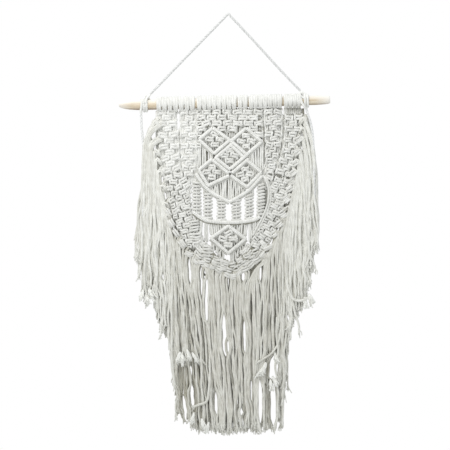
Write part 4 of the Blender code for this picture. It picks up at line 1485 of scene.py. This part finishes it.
def make_comb(name, first, last):
    skein = Skein()
    routes, tones = strands_of(first, last)
    outer = outer_strands(name)
    routes = np.array(routes + outer)
    tones = tones + [0.85 if name == "left_fringe" else 0.95] * len(outer)
    thick = np.full(routes.shape[:2], STRAND_RADIUS) * chance.normal(1, 0.12, (len(routes), 1))
    thick[:, -4:] *= np.linspace(1, 0.6, 4)
    if name == "left_fringe":
        thick[-len(outer):] *= np.linspace(1.3, 1, STRAND_STEPS)
    skein.lay(routes, thick, sides=5, tone=tones)
    for route, tone in zip(routes, tones):
        way = route[-1] - route[-4]
        fray(skein, route[-2], way, 5, 12, radius=1.15, spread=0.17, tone=min(1.05, tone + 0.2))
    for x, drop, lean in TUFTS:
        if comb_at(x) == name:
            fray(skein, (x, -10, 6 - drop), (lean, -0.25, -1), 30, 16, radius=1.5, spread=0.14, tone=1.5)
    skein.piece("hanging_" + name, name, "fringe_cotton", FRINGE)


# Room, light and camera


def set_camera():
    data = bpy.data.cameras.new("camera")
    data.sensor_width = 36
    data.lens = data.sensor_width * CAMERA_AWAY / (PHOTO_SIZE * MM_PER_PIXEL * MM)
    camera = bpy.data.objects.new("camera", data)
    across, down = ((PHOTO_SIZE / 2 - pixel) * MM_PER_PIXEL * MM for pixel in NAIL_PIXEL)
    camera.location = (across, -CAMERA_AWAY, -down)
    camera.rotation_euler = (math.pi / 2, 0, 0)
    bpy.context.scene.collection.objects.link(camera)
    bpy.context.scene.camera = camera


def set_window():
    """Soft daylight from the upper left."""
    data = bpy.data.lights.new("window", "AREA")
    data.size = WINDOW_SIZE
    data.energy = WINDOW_POWER
    data.color = WINDOW_COLOUR
    lamp = bpy.data.objects.new("window", data)
    lamp.location = WINDOW_SPOT
    x, y, z = unit(np.array(WINDOW_AIM) - WINDOW_SPOT)
    lamp.rotation_euler = (math.acos(-z), 0, math.atan2(y, x) - math.pi / 2)
    bpy.context.scene.collection.objects.link(lamp)


def set_room():
    """Plain white all round, whose light is weaker from below."""
    made = Wiring(bpy.data.worlds.new("white room"))
    place = made.add("ShaderNodeTexCoord")
    height = made.add("ShaderNodeSeparateXYZ", {0: place.outputs["Generated"]})
    glow = made.ranged(height.outputs["Z"], -0.8, 0.8, SKY_LOW, SKY_HIGH)
    lit = made.add("ShaderNodeBackground", {"Color": SKY_COLOUR, "Strength": glow})
    seen = made.feed(made.nodes["Background"], {"Color": WHITE, "Strength": 1.0})
    rays = made.add("ShaderNodeLightPath")
    mix = made.add("ShaderNodeMixShader", {0: rays.outputs["Is Camera Ray"], 1: lit, 2: seen})
    made.feed(made.nodes["World Output"], {"Surface": mix})
    bpy.context.scene.world = made.owner
    bpy.context.scene.view_settings.view_transform = "Standard"


def set_floor():
    bpy.ops.object.select_all(action="DESELECT")
    bpy.ops.mesh.primitive_plane_add(size=FLOOR_SIZE, location=(0, 0, FLOOR_HEIGHT))
    floor = bpy.context.active_object
    floor.name = "floor"
    made = Wiring(bpy.data.materials.new("pale_floor"))
    floor.data.materials.append(made.surface({"Base Color": FLOOR_COLOUR, "Roughness": 0.8}))


set_camera()
make_free_cord("hanging_cord", HANGING_CORD, "object", (0.78, 0.88))
make_free_cord("left_tail", LEFT_TAIL, "bare", (0.95, 1.05))
make_free_cord("right_tail", RIGHT_TAIL, "bare", (0.95, 1.05))
set_room()
set_window()
set_floor()
make_dowel()
make_end_knot("left_knot", LEFT_KNOT_TURNS, LEFT_KNOT_CORDS)
make_end_knot("right_knot", RIGHT_KNOT_TURNS, RIGHT_KNOT_CORDS)
for node, runs in HEADING.items():
    make_heading(node, runs)
for side in SIDES:
    make_side(*side)
make_centre()
for number, sinnet in enumerate(SINNETS, 1):
    make_sinnet(f"sinnet_{number}", *sinnet)
make_arc()
make_small_diamond()
for node, cords in FANS.items():
    make_fan(node, cords)
for node, bundles in COMBS.items():
    make_comb(node, *bundles)
